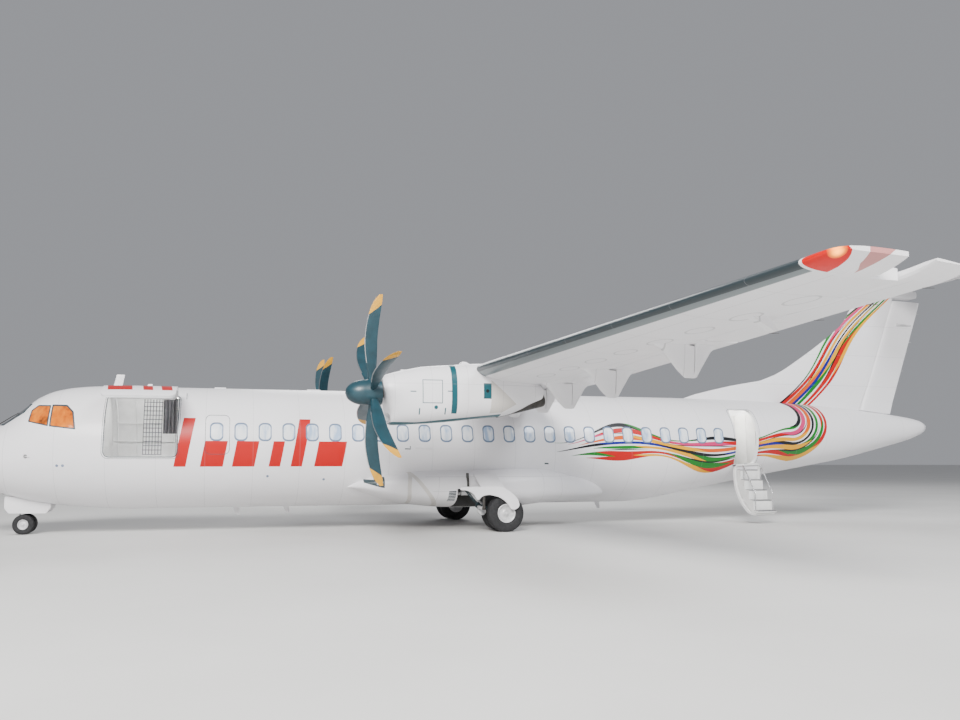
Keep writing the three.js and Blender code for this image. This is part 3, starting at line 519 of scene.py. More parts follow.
# beige bands, which are painted shade and reflection of the fairing's curves, and panel lines on the belly fairing
def bellyArt(x, y, z):
    low, side = z - 1.0, abs(y) > 0.9

    def line(value, width=0.003):
        return abs(value) < width

    # painted shade and reflection: the curved beige bands on the sides stand for how light falls on the fairing's
    # curves
    curveShadeBands = (line(x - 10.36 - low * low * 0.5, 0.045) + line(x - 10.72 + low * 0.8, 0.055)) * side
    lines = line(z - 1.27) * (x > 10.75) + line(x - 11.05 - low * 0.12) * (z < 1.27)
    lines = (lines + line(z - 0.93) * (x > 10.9) * (x < 11.3) + line(x - 13.72) + line(x - 14.25)) * side
    return [(curveShadeBands.low(1.0) * 0.45, (0.4, 0.36, 0.28)), (lines.low(1.0) * 0.5, (0.16, 0.16, 0.17))]


# teal trim round a nacelle: the dark underside, the band, a tab below the wing, a hatch and its ticks, and the
# wing's painted shadow on its rear
def nacelleArt(x, y, z):
    side = abs(y) > 4.35
    keel = (x - 9.9).high(0.0) * 0.105 + 2.375

    def patch(x0, x1, z0, z1):
        return (x > x0) * (x < x1) * (z > z0) * (z < z1)

    def spot(cx, cz, radius):
        return ((x - cx) * (x - cx) + (z - cz) * (z - cz) < radius * radius) * side

    hatch = patch(9.97, 10.39, 2.8, 3.28) * side - patch(9.985, 10.375, 2.815, 3.265)
    ticks = (patch(9.72, 9.84, 3.025, 3.045) + patch(10.49, 10.58, 3.04, 3.06) + patch(9.9, 9.925, 2.57, 2.7)
             + patch(10.44, 10.465, 2.58, 2.71))
    # painted shadow: the beige patch on the rear stands for the wing's cast shadow and the shade of the rear's
    # lower side
    paintedWingShadow = (z < (x - 11.43) * -0.845 + 3.3) * (z > (x - 11.91) * 0.56 + 2.76) * (x > 11.43)
    teal = paint["teal"]
    return [((z < keel + 0.048) * (x < 11.7), teal), (patch(10.58, 10.7, 2.6, 3.9), teal),
            (patch(11.26, 11.43, 2.91, 3.23) * side, teal), (spot(11.345, 3.07, 0.035), paint["black"]),
            (hatch.high(0.0), teal), (ticks * side, teal), (spot(10.254, 2.72, 0.04), teal),
            (paintedWingShadow * side * 0.6, (0.42, 0.38, 0.31))]


# a colour with darker clouds and a fine grain
def plainFinish(name, colour, rough, metal=0.0, speckle=0.1, scale=30, coat=0.0, bump=0.15):
    finish = Finish(name, Metallic=metal, Coat_Weight=coat)
    cloud = finish.noise(scale, 4)
    fine = finish.noise(scale * 9, 2)
    clouded = finish.ramp(cloud, (0.35, 0.0), (0.7, 1.0)) * 0.8
    finish.set(Base_Color=finish.mixed(clouded, colour, scaled(colour, 1 - speckle * 2.2)),
               Roughness=cloud * 0.2 + (rough - 0.1), Normal=finish.bump(fine, bump, 0.001))
    return finish


skinPaint = whitePaint("skinPaint", [("x", 0.4, 1.06, 0.004)], fuselageArt)
tailPaint = whitePaint("tailPaint", [("z", 0.2, 0.92, 0.005)], finArt)
panelPaint = whitePaint("panelPaint")
bellyPaint = whitePaint("bellyPaint", (), bellyArt)
doorPaint = whitePaint("doorPaint", (), doorArt)
nacellePaint = whitePaint("nacellePaint", [("x", 9.415, 0.76, 0.004), ("z", 0.2, 1.0, 0.004)], nacelleArt)
linerFinish = plainFinish("linerFinish", (0.84, 0.85, 0.87), 0.45, 0, 0.05, 6)
doorLiner = plainFinish("doorLiner", (0.78, 0.78, 0.77), 0.45, 0, 0.06, 5)
# painted shade: a near-black colour for the deep shade inside the wheel wells, the nose well and the nacelle
# intakes
recessShade = plainFinish("recessShade", (0.06, 0.06, 0.06), 0.7, 0.1, 0.2, 5)
stairGrip = plainFinish("stairGrip", (0.05, 0.05, 0.055), 0.85, 0, 0.2, 60, 0, 0.4)
railMetal = plainFinish("railMetal", (0.72, 0.72, 0.73), 0.25, 0.9, 0.06, 12)
netCord = plainFinish("netCord", (0.16, 0.17, 0.2), 0.8, 0, 0.2, 90)
lampWhite = Finish("lampWhite", Base_Color=(0.9, 0.9, 0.88), Roughness=0.3, Emission_Color=(1.0, 0.97, 0.9),
                   Emission_Strength=22.0)
lampGlass = Finish("lampGlass", Base_Color=(0.75, 0.78, 0.8), Roughness=0.08, Metallic=0.4, Coat_Weight=1.0)
beaconLens = Finish("beaconLens", Base_Color=(0.42, 0.004, 0.002), Roughness=0.08, Coat_Weight=1.0)


# a lamp's coloured cover on a wing tip, with the lit bulb's glow and the white rim round it
def tipLens(name, tint, glow):
    finish = Finish(name, Roughness=0.25, Specular_IOR_Level=0.3, Emission_Strength=6.0)
    x, y, z = finish.place()
    dx, dz = x - 11.81, z - 3.6
    lens = dx * dx / 0.06 + dz * dz / 0.0256 < 1.0
    dx, dy, dz = x - 11.9, abs(y) - 13.46, z - 3.685
    bulb = (1.0 - (dx * dx + dy * dy + dz * dz) ** 0.5 / 0.1).high(0.0)
    cloud = finish.noise(14, 3)
    stops = (0.0, scaled(tint, 0.06)), (0.3, scaled(glow, 0.25)), (0.75, glow)
    cover = finish.mixed(cloud * 0.5, tint, scaled(tint, 0.4))
    finish.set(Base_Color=finish.mixed(lens, paint["white"], cover),
               Emission_Color=finish.mixed(lens, (0, 0, 0), finish.ramp(bulb, *stops)))
    return finish


redLens = tipLens("redLens", (0.55, 0.002, 0.0005), (1.0, 0.36, 0.03))
greenLens = tipLens("greenLens", (0.004, 0.34, 0.09), (0.35, 1.0, 0.5))
floorMetal = plainFinish("floorMetal", (0.32, 0.32, 0.31), 0.45, 0.7, scale=12)
bareMetal = plainFinish("bareMetal", (0.52, 0.52, 0.53), 0.32, 0.95, 0.12, 14)
darkMetal = plainFinish("darkMetal", (0.09, 0.085, 0.08), 0.5, 0.8, 0.2, 10)
gearPaint = plainFinish("gearPaint", (0.6, 0.6, 0.61), 0.38, 0.1, 0.12, 9, 0.3)
wheelPaint = plainFinish("wheelPaint", (0.64, 0.64, 0.65), 0.4, 0.15, 0.16, 12, 0.3)
tyreRubber = plainFinish("tyreRubber", (0.018, 0.018, 0.02), 0.82, 0, 0.25, 18, 0, 0.35)
bladePaint = plainFinish("bladePaint", (0.01, 0.048, 0.066), 0.42, 0, 0.2, 5, 0.12)
bladeTip = plainFinish("bladeTip", (0.66, 0.33, 0.02), 0.5, 0, 0.08, 9)
darkTrim = plainFinish("darkTrim", (0.02, 0.045, 0.055), 0.4, 0, 0.15, 8, 0.2)
# painted reflection: the cabin panes' pale blue and white clouds stand for what the glass reflects
cabinGlass = Finish("cabinGlass", Roughness=0.22, Coat_Weight=0.4, Coat_Roughness=0.05)
cabinGlass.set(Base_Color=cabinGlass.ramp(cabinGlass.noise(7, 2, (1, 1, 0.15)), (0.38, (0.36, 0.48, 0.68)),
                                          (0.5, (0.66, 0.72, 0.8)), (0.62, (0.8, 0.83, 0.87))))
cockpitGlass = plainFinish("cockpitGlass", (0.012, 0.016, 0.02), 0.07, 0, 0.1, 3, 1.0, 0.02)
shadedGlass = Finish("shadedGlass", Roughness=0.12, Coat_Weight=0.6, Coat_Roughness=0.03)
shadedGlass.set(Base_Color=shadedGlass.ramp(shadedGlass.noise(3.2, 3, (1, 1, 0.6)), (0.36, (0.05, 0.02, 0.008)),
                                            (0.47, (0.52, 0.11, 0.002)), (0.62, (0.72, 0.2, 0.004))))
curtainCloth = plainFinish("curtainCloth", (0.34, 0.34, 0.36), 0.9, 0, 0.15, 12, 0, 0.4)
windowRim = plainFinish("windowRim", (0.13, 0.19, 0.3), 0.4, 0.1, 0.1, 20)
whitePlain = plainFinish("whitePlain", (0.8, 0.79, 0.81), 0.35, 0, 0.04, 8, 0.2)
print("finishes made")

# Fuselage

hold = {"from": 3.4, "to": 5.42, "low": 1.48, "high": 3.22}
lobby = {"from": 19.3, "to": 20.46, "low": 1.5, "high": 3.2}
noseWell = {"from": 1.29, "to": 2.36, "half": 0.275, "top": 1.33}


def roomMesh(room, wall):
    inner = meshOf(body(room["from"], room["to"], -wall, 72))
    block = meshOf(boxPart(room["from"] - 0.1, room["to"] + 0.1, -1.6, 1.6, room["low"], room["high"]))
    return cutMesh(inner, [block], "INTERSECT")


# a tree that finds where a line meets a part
def treeOf(part):
    return BVHTree.FromPolygons([Vector(st(*p)) for p in part[0]], part[1])


skinPart = body(0, 27.0, 0, 112, 0.2)
skinTree = treeOf(skinPart)


def buildFuselage():
    well = boxPart(noseWell["from"], noseWell["to"], -noseWell["half"], noseWell["half"], 0.3, noseWell["top"])
    mesh = cutMesh(meshOf(skinPart), [roomMesh(hold, cargo["wall"]), roomMesh(lobby, entry["wall"]),
                                      meshOf(doorway(cargo)), meshOf(doorway(entry)), meshOf(well)])
    nodes = ("nose_section", "forward_fuselage", "center_fuselage", "aft_fuselage", "tail_cone")
    finishes = [skinPaint, linerFinish, floorMetal, recessShade]
    pieceOf("fuselageSkin", mesh, finishes, replaces=nodes, slot="white_metal", angle=40)
    # the rooms' lining and floor take finishes of their own, and the nose well takes the painted shade
    for face in mesh.polygons:
        x, y, z = face.center.x + halfLength, face.center.y, face.center.z
        inside = abs(y) < abs(skinY(x, z)) - 0.008
        for room in (hold, lobby):
            if inside and room["from"] - 0.01 < x < room["to"] + 0.01 and z > room["low"] - 0.01:
                face.material_index = 2 if face.normal.z > 0.9 and z < room["low"] + 0.05 else 1
        inWell = noseWell["from"] - 0.01 < x < noseWell["to"] + 0.01 and abs(y) < noseWell["half"] + 0.001
        if inWell and sample(bodyRows, x)[2] + 0.03 < z < 1.4:
            face.material_index = 3


buildFuselage()
print("fuselage made")


# a point dropped on a skin along a direction, and the skin's normal there
def onSkin(point, direction, tree=None):
    tree = tree or skinTree
    hit, normal, _, _ = tree.ray_cast(Vector(st(*point)), Vector(direction).normalized())
    if hit is None:
        hit, normal, _, _ = tree.find_nearest(Vector(st(*point)))
    if normal.dot(Vector(direction)) > 0:
        normal = -normal
    return Vector((hit.x + halfLength, hit.y, hit.z)), normal


# a point dropped on the skin and lifted off it, with its y times a sign
def onLift(point, direction, lift, sign, tree=None):
    point, normal = onSkin(point, direction, tree)
    point = point + normal * lift
    return point.x, point.y * sign, point.z


# a sheet over rings that lie one inside the other
def patchOf(rings):
    points, faces, last = gridOf(rings)
    return points, [*faces, last]


# a sheet without its last face, as a rim round a pane
def rimOf(part):
    return part[0], part[1][:-1]


# a patch over an outline in x and z on a side of the skin; lifts pair a share of the outline with its rise
def sidePatch(outline, lifts, side=-1, tree=None):
    cx = sum(p[0] for p in outline) / len(outline)
    cz = sum(p[1] for p in outline) / len(outline)
    rings = []
    for share, lift in lifts:
        spots = [(cx + (x - cx) * share, -3, cz + (z - cz) * share) for x, z in outline]
        rings.append([onLift(spot, (0, 1, 0), lift, -side, tree) for spot in spots])
    return patchOf(rings)


window = {"first": 5.944, "pitch": 0.54, "count": 25, "z": 2.31, "width": 0.245, "height": 0.37, "corner": 0.095,
          "rim": 0.028}
paneLifts = [(1.0, 0.0)] + [(share, 0.004) for share in (0.985, 0.8, 0.6, 0.4, 0.2, 0.06)]
windowRimLifts = [(1.0, 0.0), (0.985, 0.005), (0.83, 0.006), (0.8, 0.002)]


def buildWindows():
    panes, rims = [], []
    wide, tall, z = window["width"] / 2, window["height"] / 2, window["z"]
    for i in range(window["count"]):
        x = window["first"] + i * window["pitch"]
        inner = roundedOutline(x - wide, x + wide, z - tall, z + tall, window["corner"])
        outer = [(x + (px - x) * (1 + window["rim"] / wide), z + (pz - z) * (1 + window["rim"] / tall))
                 for px, pz in inner]
        for side in (-1, 1):
            panes.append(sidePatch(inner, paneLifts, side))
            rims.append(rimOf(sidePatch(outer, windowRimLifts, side)))
    meshPiece("windowPanes", panes, cabinGlass, slot="glass")
    meshPiece("windowRims", rims, windowRim, slot="white_metal", angle=60)


buildWindows()


# a thin raised line that follows an outline on the skin
def seam(outline, width, lift, side=-1, closed=True, tree=None):
    count = len(outline)
    rings = []
    for i, (x, z) in enumerate(outline):
        before = outline[(i - 1) % count] if closed or i else outline[i]
        after = outline[(i + 1) % count] if closed or i < count - 1 else outline[i]
        tx, tz = after[0] - before[0], after[1] - before[1]
        size = hypot(tx, tz) or 1
        nx, nz = -tz / size * width / 2, tx / size * width / 2
        rings.append([onLift((x + nx * share, -3, z + nz * share), (0, 1, 0), rise, -side, tree)
                      for share, rise in ((1, 0), (0.6, lift), (-0.6, lift), (-1, 0))])
    if closed:
        rings.append(rings[0])
    return loft(rings, caps=False, closed=False)


def densely(outline, step=0.08, closed=True):
    result = []
    count = len(outline)
    for i in range(count if closed else count - 1):
        a, b = outline[i], outline[(i + 1) % count]
        parts = max(1, int(hypot(b[0] - a[0], b[1] - a[1]) / step))
        result += [(mix(a[0], b[0], k / parts), mix(a[1], b[1], k / parts)) for k in range(parts)]
    if not closed:
        result.append(outline[-1])
    return result


# the doors', exits' and hatches' joint lines, small marks and the two strips ahead of the belly fairing
def buildSeams():
    exitDoor = roundedOutline(5.7, 6.23, 1.8, 2.69, 0.11)
    lines = [seam(densely(exitDoor), 0.012, 0.0015, side) for side in (-1, 1)]
    lines.append(seam(densely(roundedOutline(19.5, 20.15, 1.62, 2.86, 0.1)), 0.012, 0.0015, 1))
    for door in (cargo, entry):
        lines.append(seam(densely(doorOutline(door, 0.05, 0.14, above=0.03)), 0.01, 0.0015))
    lines.append(seam(densely(roundedOutline(6.9, 7.3, 1.0, 1.3, 0.04)), 0.008, 0.0012, 1))
    for side in (-1, 1):
        lines.append(seam([(10.31, 1.935), (10.44, 1.93), (10.44, 2.0)], 0.026, 0.003, side, False))
        lines.append(sidePatch([(13.9, 1.565), (14.01, 1.56), (14.01, 1.595), (13.9, 1.6)],
                               [(1.0, 0.0), (0.95, 0.003), (0.4, 0.003)], side))
    lines.append(seam(densely(doorOutline(cargo, 0.014, 0.12, above=0.012)), 0.022, 0.004))
    meshPiece("skinSeams", lines, darkTrim, slot="white_metal", angle=60)
    strips = [seam(densely(line, 0.08, False), width, lift, side, False) for line, width, lift in (
        ([(10.56, 1.955), (11.0, 1.945)], 0.055, 0.012), ([(11.0, 1.945), (12.25, 1.93)], 0.014, 0.005))
        for side in (-1, 1)]
    meshPiece("skinStrips", strips, whitePlain, slot="white_metal", angle=60)


buildSeams()

# Cockpit

cockpit = {
    "side": [[(1.96, 2.52), (2.36, 2.43), (2.36, 2.86), (2.1, 2.87), (1.98, 2.76)],
             [(2.43, 2.42), (2.93, 2.36), (2.86, 2.72), (2.72, 2.86), (2.43, 2.87)]],
    "front": [(0.03, 2.5), (0.52, 2.46), (0.66, 2.72), (0.5, 2.91), (0.03, 2.94)],
    "rim": [(1.12, 0.0), (1.09, 0.007), (1.0, 0.007), (0.97, 0.003)],
    "wiper": [(0.1, 2.4, 0.0), (0.1, 2.41, 0.035), (0.24, 2.5, 0.035), (0.42, 2.63, 0.03),
              (0.5, 2.72, 0.016)],
}


# an outline's corners rounded by quadratic curves
def softened(outline, corner=0.045, steps=4):
    result = []
    count = len(outline)
    for i in range(count):
        a, b, c = Vector(outline[i - 1]), Vector(outline[i]), Vector(outline[(i + 1) % count])
        start = b + (a - b).normalized() * corner
        end = b + (c - b).normalized() * corner
        for k in range(steps + 1):
            t = k / steps
            result.append(tuple(start * (1 - t) ** 2 + b * 2 * t * (1 - t) + end * t * t))
    return result


# a patch over an outline in y and z, laid on the nose from ahead
def frontPatch(outline, lifts, side):
    cy = sum(p[0] for p in outline) / len(outline)
    cz = sum(p[1] for p in outline) / len(outline)
    rings = []
    for share, lift in lifts:
        spots = [(-2, cy + (y - cy) * share, cz + (z - cz) * share) for y, z in outline]
        rings.append([onLift(spot, (1, 0, 0), lift, side) for spot in spots])
    return patchOf(rings)


def buildCockpit():
    panes, shaded, rims, wipers = [], [], [], []
    for outline in cockpit["side"]:
        smooth = softened(densely(outline, 0.12), 0.02)
        for side in (-1, 1):
            shaded.append(sidePatch(smooth, paneLifts, side))
            rims.append(rimOf(sidePatch(smooth, cockpit["rim"], side)))
    smooth = softened(densely(cockpit["front"], 0.12), 0.02)
    for side in (-1, 1):
        panes.append(frontPatch(smooth, paneLifts, side))
        rims.append(rimOf(frontPatch(smooth, cockpit["rim"], side)))
        path = [onLift((-2, y, z), (1, 0, 0), lift, side) for y, z, lift in cockpit["wiper"]]
        wipers.append(tube(path, [0.016, 0.012, 0.01, 0.008, 0.006], 10))
    meshPiece("cockpitPanes", panes, cockpitGlass, replaces=("cockpit_glazing",), slot="glass")
    meshPiece("cockpitSidePanes", shaded, shadedGlass, slot="glass")
    meshPiece("cockpitRims", rims, darkTrim, slot="white_metal", angle=60)
    meshPiece("wipers", wipers, darkMetal, slot="gear_paint")


buildCockpit()
print("windows and seams made")

# Wing

wingRoot = {"le": 11.14, "chord": 2.57, "zLe": 3.52, "zTe": 3.255, "thick": 0.165}
wingTip = {"le": 11.73, "chord": 1.78, "zLe": 3.63, "zTe": 3.52, "thick": 0.12}
kinkY, tipY, joinY = 4.9, 13.1, 4.5
sparEnd, flapStart, lampEnd = 0.7, 0.712, 12.23


def wingAt(y):
    t = max(0, (abs(y) - kinkY) / (tipY - kinkY))
    return {key: mix(wingRoot[key], wingTip[key], t) for key in wingRoot}


# half the thickness of the usual four-digit section at a share of its chord
def halfThick(f, thick):
    return 5 * thick * (0.2969 * sqrt(f) - 0.126 * f - 0.3516 * f**2 + 0.2843 * f**3 - 0.1036 * f**4)


def foilPoint(section, y, f, side, grow=0, arch=0.08):
    rise = arch * f * (1 - f) + side * halfThick(f, section["thick"])
    z = mix(section["zLe"], section["zTe"], f) + section["chord"] * rise
    return (section["le"] + section["chord"] * f, y, z + side * grow)


# a ring round the section between two shares of its chord
def foilRing(section, y, start, end, nose=False, grow=0, arch=0.08, steps=28):
    if start == 0:
        shares = [mix(0, end, 1 - cos(i / steps * pi / 2)) for i in range(steps + 1)]
    else:
        shares = [mix(start, end, i / steps) for i in range(steps + 1)]
    upper = [foilPoint(section, y, f, 1, grow, arch) for f in shares]
    lower = [foilPoint(section, y, f, -1, grow, arch) for f in shares]
    if end == 1:
        tip = upper[-1]
        upper[-1], lower[-1] = (tip[0], y, section["zTe"] + 0.003), (tip[0], y, section["zTe"] - 0.003)
    if nose:
        # the moving surface's rounded front: the corners draw in over the first tenth of it
        middle = (upper[0][2] + lower[0][2]) / 2
        reach = section["chord"] * 0.04
        for points in (upper, lower):
            for i, p in enumerate(points):
                t = (p[0] - points[0][0]) / reach
                if t < 1:
                    points[i] = (p[0], p[1], mix(middle, p[2], 0.25 + 0.75 * sqrt(max(0, 1 - (1 - t) ** 2))))
    ring = upper + lower[::-1]
    if start == 0:
        ring = ring[:-1]
    return ring


def wingPiece(ys, start, end, **options):
    spread = []
    for a, b in zip(ys, ys[1:]):
        parts = max(1, int(abs(b - a) / 0.8))
        spread += [mix(a, b, k / parts) for k in range(parts)]
    spread.append(ys[-1])
    return loft([foilRing(wingAt(y), y, start, end, **options) for y in spread])


# columns: y, share of the thickness left, how far the front edge draws back, how far the end turns up
tipRows = [
    (tipY, 1, 0, 0), (13.2, 0.975, 0.01, 0.008), (13.3, 0.92, 0.03, 0.02), (13.38, 0.81, 0.062, 0.036),
    (13.43, 0.7, 0.09, 0.045), (13.48, 0.53, 0.135, 0.058), (halfSpan, 0.3, 0.19, 0.07),
]


def tipPiece(start, end, **options):
    rings = []
    for y, share, back, rise in tipRows:
        section = {"le": wingTip["le"] + back, "chord": wingTip["chord"] - back * 1.25,
                   "zLe": wingTip["zLe"] + rise, "zTe": wingTip["zTe"] + rise, "thick": wingTip["thick"] * share}
        rings.append(foilRing(section, -y, start, end, **options))
    return loft(rings)


# columns: y, pivot station, pivot z
outerPods = [(4.66, 13.035, 2.8), (6.62, 13.0, 2.8725), (9.2, 12.954, 2.968)]
innerPods = [(1.5, 13.035, 2.8), (3.3, 13.035, 2.8)]
pod = {"ahead": 0.62, "behind": 0.545, "below": 0.084, "width": 0.15, "split": 0.09, "play": 0.009, "rings": 34}


# a flap pod, full above and pinched to a rounded keel; surface gives the wing's underside above it
def podWhole(y, px, pz, surface, wingEnd):
    front, rear, keelZ = px - pod["ahead"], px + pod["behind"], pz - pod["below"]
    keel = [(front, surface(front) + 0.014), (px - 0.45, surface(px - 0.45) - 0.07), (px - 0.19, pz + 0.04),
            (px - 0.06, keelZ + 0.006), (px + 0.07, keelZ), (px + 0.15, keelZ + 0.008),
            (px + 0.23, pz + 0.06), (px + 0.4, surface(px + 0.4) - 0.1),
            (rear, surface(min(rear, wingEnd)) + 0.01)]
    rings = []
    for i in range(pod["rings"]):
        share = i / (pod["rings"] - 1)
        x = mix(front, rear, share)
        k = max(j for j in range(len(keel) - 1) if keel[j][0] <= x + 1e-9)
        low = mix(keel[k][1], keel[k + 1][1], (x - keel[k][0]) / (keel[k + 1][0] - keel[k][0]))
        top = surface(min(x, wingEnd - 0.02)) + 0.014
        swell = min(1, 0.25 + 1.9 * sin(pi * min(max(share, 0.02), 0.98)) ** 0.8) * pod["width"] / 2
        ring = []
        for t in range(13):
            a = pi * t / 12
            depth = top - (top - low) * sin(a) ** 0.8
            pinch = (0.55 + 0.45 * (depth - low) / max(top - low, 0.01)) ** 0.8
            ring.append((x, -y + swell * cos(a) * pinch, depth))
        rings.append(ring)
    return meshOf(loft(rings))


# the fixed and the moving halves of a row of pods
# a pod's cut is round its hinge line, which drifts aft and up over each metre outboard
def podPieces(rows):
    (y0, x0, z0), (y1, x1, z1) = rows[0], rows[-1]
    aft, up = (x1 - x0) / (y1 - y0), (z1 - z0) / (y1 - y0)
    ahead, behind, far = [], [], 1.2
    for y, px, pz in rows:
        section = wingAt(y)
        wingEnd = section["le"] + section["chord"]

        def surface(x):
            return foilPoint(section, y, (x - section["le"]) / section["chord"], -1)[2]

        def disc(radius):
            start = (px + 0.2 * aft, -y - 0.2, pz + 0.2 * up)
            return meshOf(spun(start, (-aft, 1, -up), [(0, radius), (0.4, radius)], 64))

        def block(start, end, low=-far):
            return meshOf(boxPart(px + start, px + end, -y - 0.2, -y + 0.2, pz + low, pz + far))

        whole = podWhole(y, px, pz, surface, wingEnd)
        flapStarts = section["le"] + sparEnd * section["chord"] - 0.005 - px
        overFlap = cutMesh(block(flapStarts, far, 0), [disc(surface(px) - pz - 0.016)])
        rearOnly = cutMesh(block(0, far), [disc(pod["split"]), block(-0.001, pod["split"] - 0.004, 0)])
        ahead.append(cutMesh(whole.copy(), [rearOnly, overFlap]))
        frontOnly = [block(-far, 0), disc(pod["split"] + 0.003), block(-0.001, pod["split"] + pod["play"], 0)]
        behind.append(cutMesh(whole, frontOnly))
    return joinMeshes(ahead), joinMeshes(behind)


def joinMeshes(meshes):
    build = bmesh.new()
    for mesh in meshes:
        build.from_mesh(mesh)
    joined = bpy.data.meshes.new("joined")
    build.to_mesh(joined)
    build.free()
    return joined


def flippedMesh(mesh):
    build = bmesh.new()
    build.from_mesh(mesh)
    bmesh.ops.scale(build, vec=(1, -1, 1), verts=build.verts)
    bmesh.ops.reverse_faces(build, faces=build.faces)
    flipped = bpy.data.meshes.new("flipped")
    build.to_mesh(flipped)
    build.free()
    return flipped


# a port mesh and its mirror; {} in a body or node name takes the side
def pairOf(name, mesh, finish, body="airframe", replaces=(), slot=None, angle=30):
    for side, made in (("left", mesh), ("right", flippedMesh(mesh))):
        nodes = [node.format(side) for node in replaces]
        pieceOf(f"{name}_{side}", made, finish, body.format(side), nodes, slot, angle)


# the rubber boot over the wing's front edge, with a painted highlight on its underside, and the panel lines under
# the wing
def wingArt(x, y, z):
    outboard = abs(y)
    t = ((outboard - kinkY) / (tipY - kinkY)).high(0.0)
    front = x - t * (wingTip["le"] - wingRoot["le"]) - wingRoot["le"]
    height = z - t * (wingTip["zLe"] - wingRoot["zLe"]) - wingRoot["zLe"]
    inboard = (outboard < 13.12) * (outboard > 1.2)
    cell = ((outboard - 5.2) / 0.92).frac() - 0.5
    oval = (cell * 0.92) * (cell * 0.92) / 0.06 + (front - 0.95) * (front - 0.95) / 0.02
    below = (height < -0.02) * (outboard > 5.2) * (outboard < 12.6)
    pocket = (outboard > 13.16) * (x > 12.15) * (x < 12.555)
    pocket = pocket * (z > 3.639 - (x - 12.14) * 0.6) * (z > 3.533 + (x - 12.317) * 0.812)
    joints = (abs(front - 0.42) < 0.004) * inboard + (abs(front - 1.42) < 0.004) * inboard
    lines = (abs(oval - 1.0) < 0.16) * below + joints
    boot = (front < 0.16) * inboard
    # painted highlight: the black boot is drawn paler on its underside, where light falls on it from below
    return [(boot, (0.022, 0.034, 0.04)), (boot * (height < -0.055), (0.15, 0.18, 0.19)),
            ((abs(front - 0.16) < 0.006) * inboard, (0.3, 0.32, 0.33)),
            (lines.low(1.0) * 0.45, (0.2, 0.2, 0.21)), (pocket, (0.5, 0.22, 0.21))]


wingPaint = whitePaint("wingSkinPaint", [("y", 0.0, 1.37, 0.005)], wingArt)


# the block that parts a wing tip's lamp from the tip, up to a station
def lampBlock(end, gap=0):
    return meshOf(boxPart(11.0, end, -halfSpan - 0.05, -tipY - 0.06 - gap, 3.0, 4.2))


def buildWing():
    fixed = wingPiece([-joinY, joinY], 0, sparEnd)
    fillers = [wingPiece(span, sparEnd - 0.02, 1, grow=-0.0015)
               for span in ([-1.19, 1.19], [-4.49, -3.62], [3.62, 4.49])]
    innerAhead, innerBehind = podPieces(innerPods)
    outerAhead, outerBehind = podPieces(outerPods)
    center = [meshOf(part) for part in (fixed, *fillers)] + [innerAhead, flippedMesh(innerAhead)]
    pieceOf("wingCenter", joinMeshes(center), wingPaint, replaces=("wing_center",), slot="white_metal")
    panel = meshOf(wingPiece([-joinY - 0.0003, -kinkY, -tipY], 0, sparEnd))
    cap = cutMesh(meshOf(tipPiece(0, 0.5)), [lampBlock(lampEnd)])
    y = -11.2
    section = wingAt(y)

    def under(x):
        return foilPoint(section, y, (x - section["le"]) / section["chord"], -1)[2] + 0.012

    bulge = prism([(12.56, under(12.56)), (12.66, under(12.66) - 0.06), (12.88, under(12.88) - 0.19),
                   (12.95, under(12.9) - 0.19), (12.82, under(12.82))], y - 0.06, y + 0.06)
    pairOf("wingOuter", joinMeshes([panel, cap, outerAhead, meshOf(bulge)]), wingPaint,
           replaces=("wing_outer_{}",), slot="white_metal")
    inner = meshOf(wingPiece([-3.6, -1.205], flapStart, 1, nose=True))
    outer = meshOf(wingPiece([-9.56, -kinkY, -4.52], flapStart, 1, nose=True))
    for name, node, flap, pods in (("flapInner", "flap_inner_{}", inner, innerBehind),
                                   ("flapOuter", "flap_outer_{}", outer, outerBehind)):
        pairOf(name, joinMeshes([flap, pods]), wingPaint, node, (node,), "white_composite")
    aileron = joinMeshes([meshOf(wingPiece([-tipY - 0.001, -9.6], flapStart + 0.004, 1, nose=True)),
                          meshOf(tipPiece(flapStart + 0.004, 1, nose=True))])
    pairOf("aileron", aileron, wingPaint, "aileron_{}", ("aileron_{}",), "white_composite")


buildWing()
print("wing made")

# Fairings

# columns: station, top z, bottom z, half width
crestRows = [
    (10.15, 3.33, 3.0, 0.42), (10.5, 3.52, 3.0, 0.82), (11.0, 3.78, 3.0, 1.01),
    (11.7, 3.87, 3.0, 1.08), (13.0, 3.86, 3.0, 1.08), (13.9, 3.72, 3.0, 1.0),
    (14.6, 3.53, 3.0, 0.8), (15.25, 3.38, 3.0, 0.42),
]
bellyRows = [
    (8.95, 1.07, 0.99, 1.05), (9.3, 1.26, 0.9, 1.3), (9.8, 1.39, 0.74, 1.52),
    (10.3, 1.45, 0.62, 1.68), (10.8, 1.48, 0.55, 1.77), (11.4, 1.5, 0.5, 1.8),
    (12.0, 1.5, 0.49, 1.8), (13.3, 1.54, 0.5, 1.79), (13.9, 1.52, 0.56, 1.72),
    (14.5, 1.4, 0.6, 1.56), (15.2, 1.23, 0.64, 1.3), (15.7, 1.05, 0.72, 0.9),
]
wheelWell = {"from": 11.5, "to": 12.96, "inner": 1.08, "top": 0.985}


def tableLoft(rows, power, sides, step):
    stations = between(rows, rows[0][0], rows[-1][0], step)
    return loft([ovalRing(sample(rows, x), 0, power, sides) for x in stations])


bellyPart = tableLoft(bellyRows, 3, 84, 0.12)
bellyTree = treeOf(bellyPart)


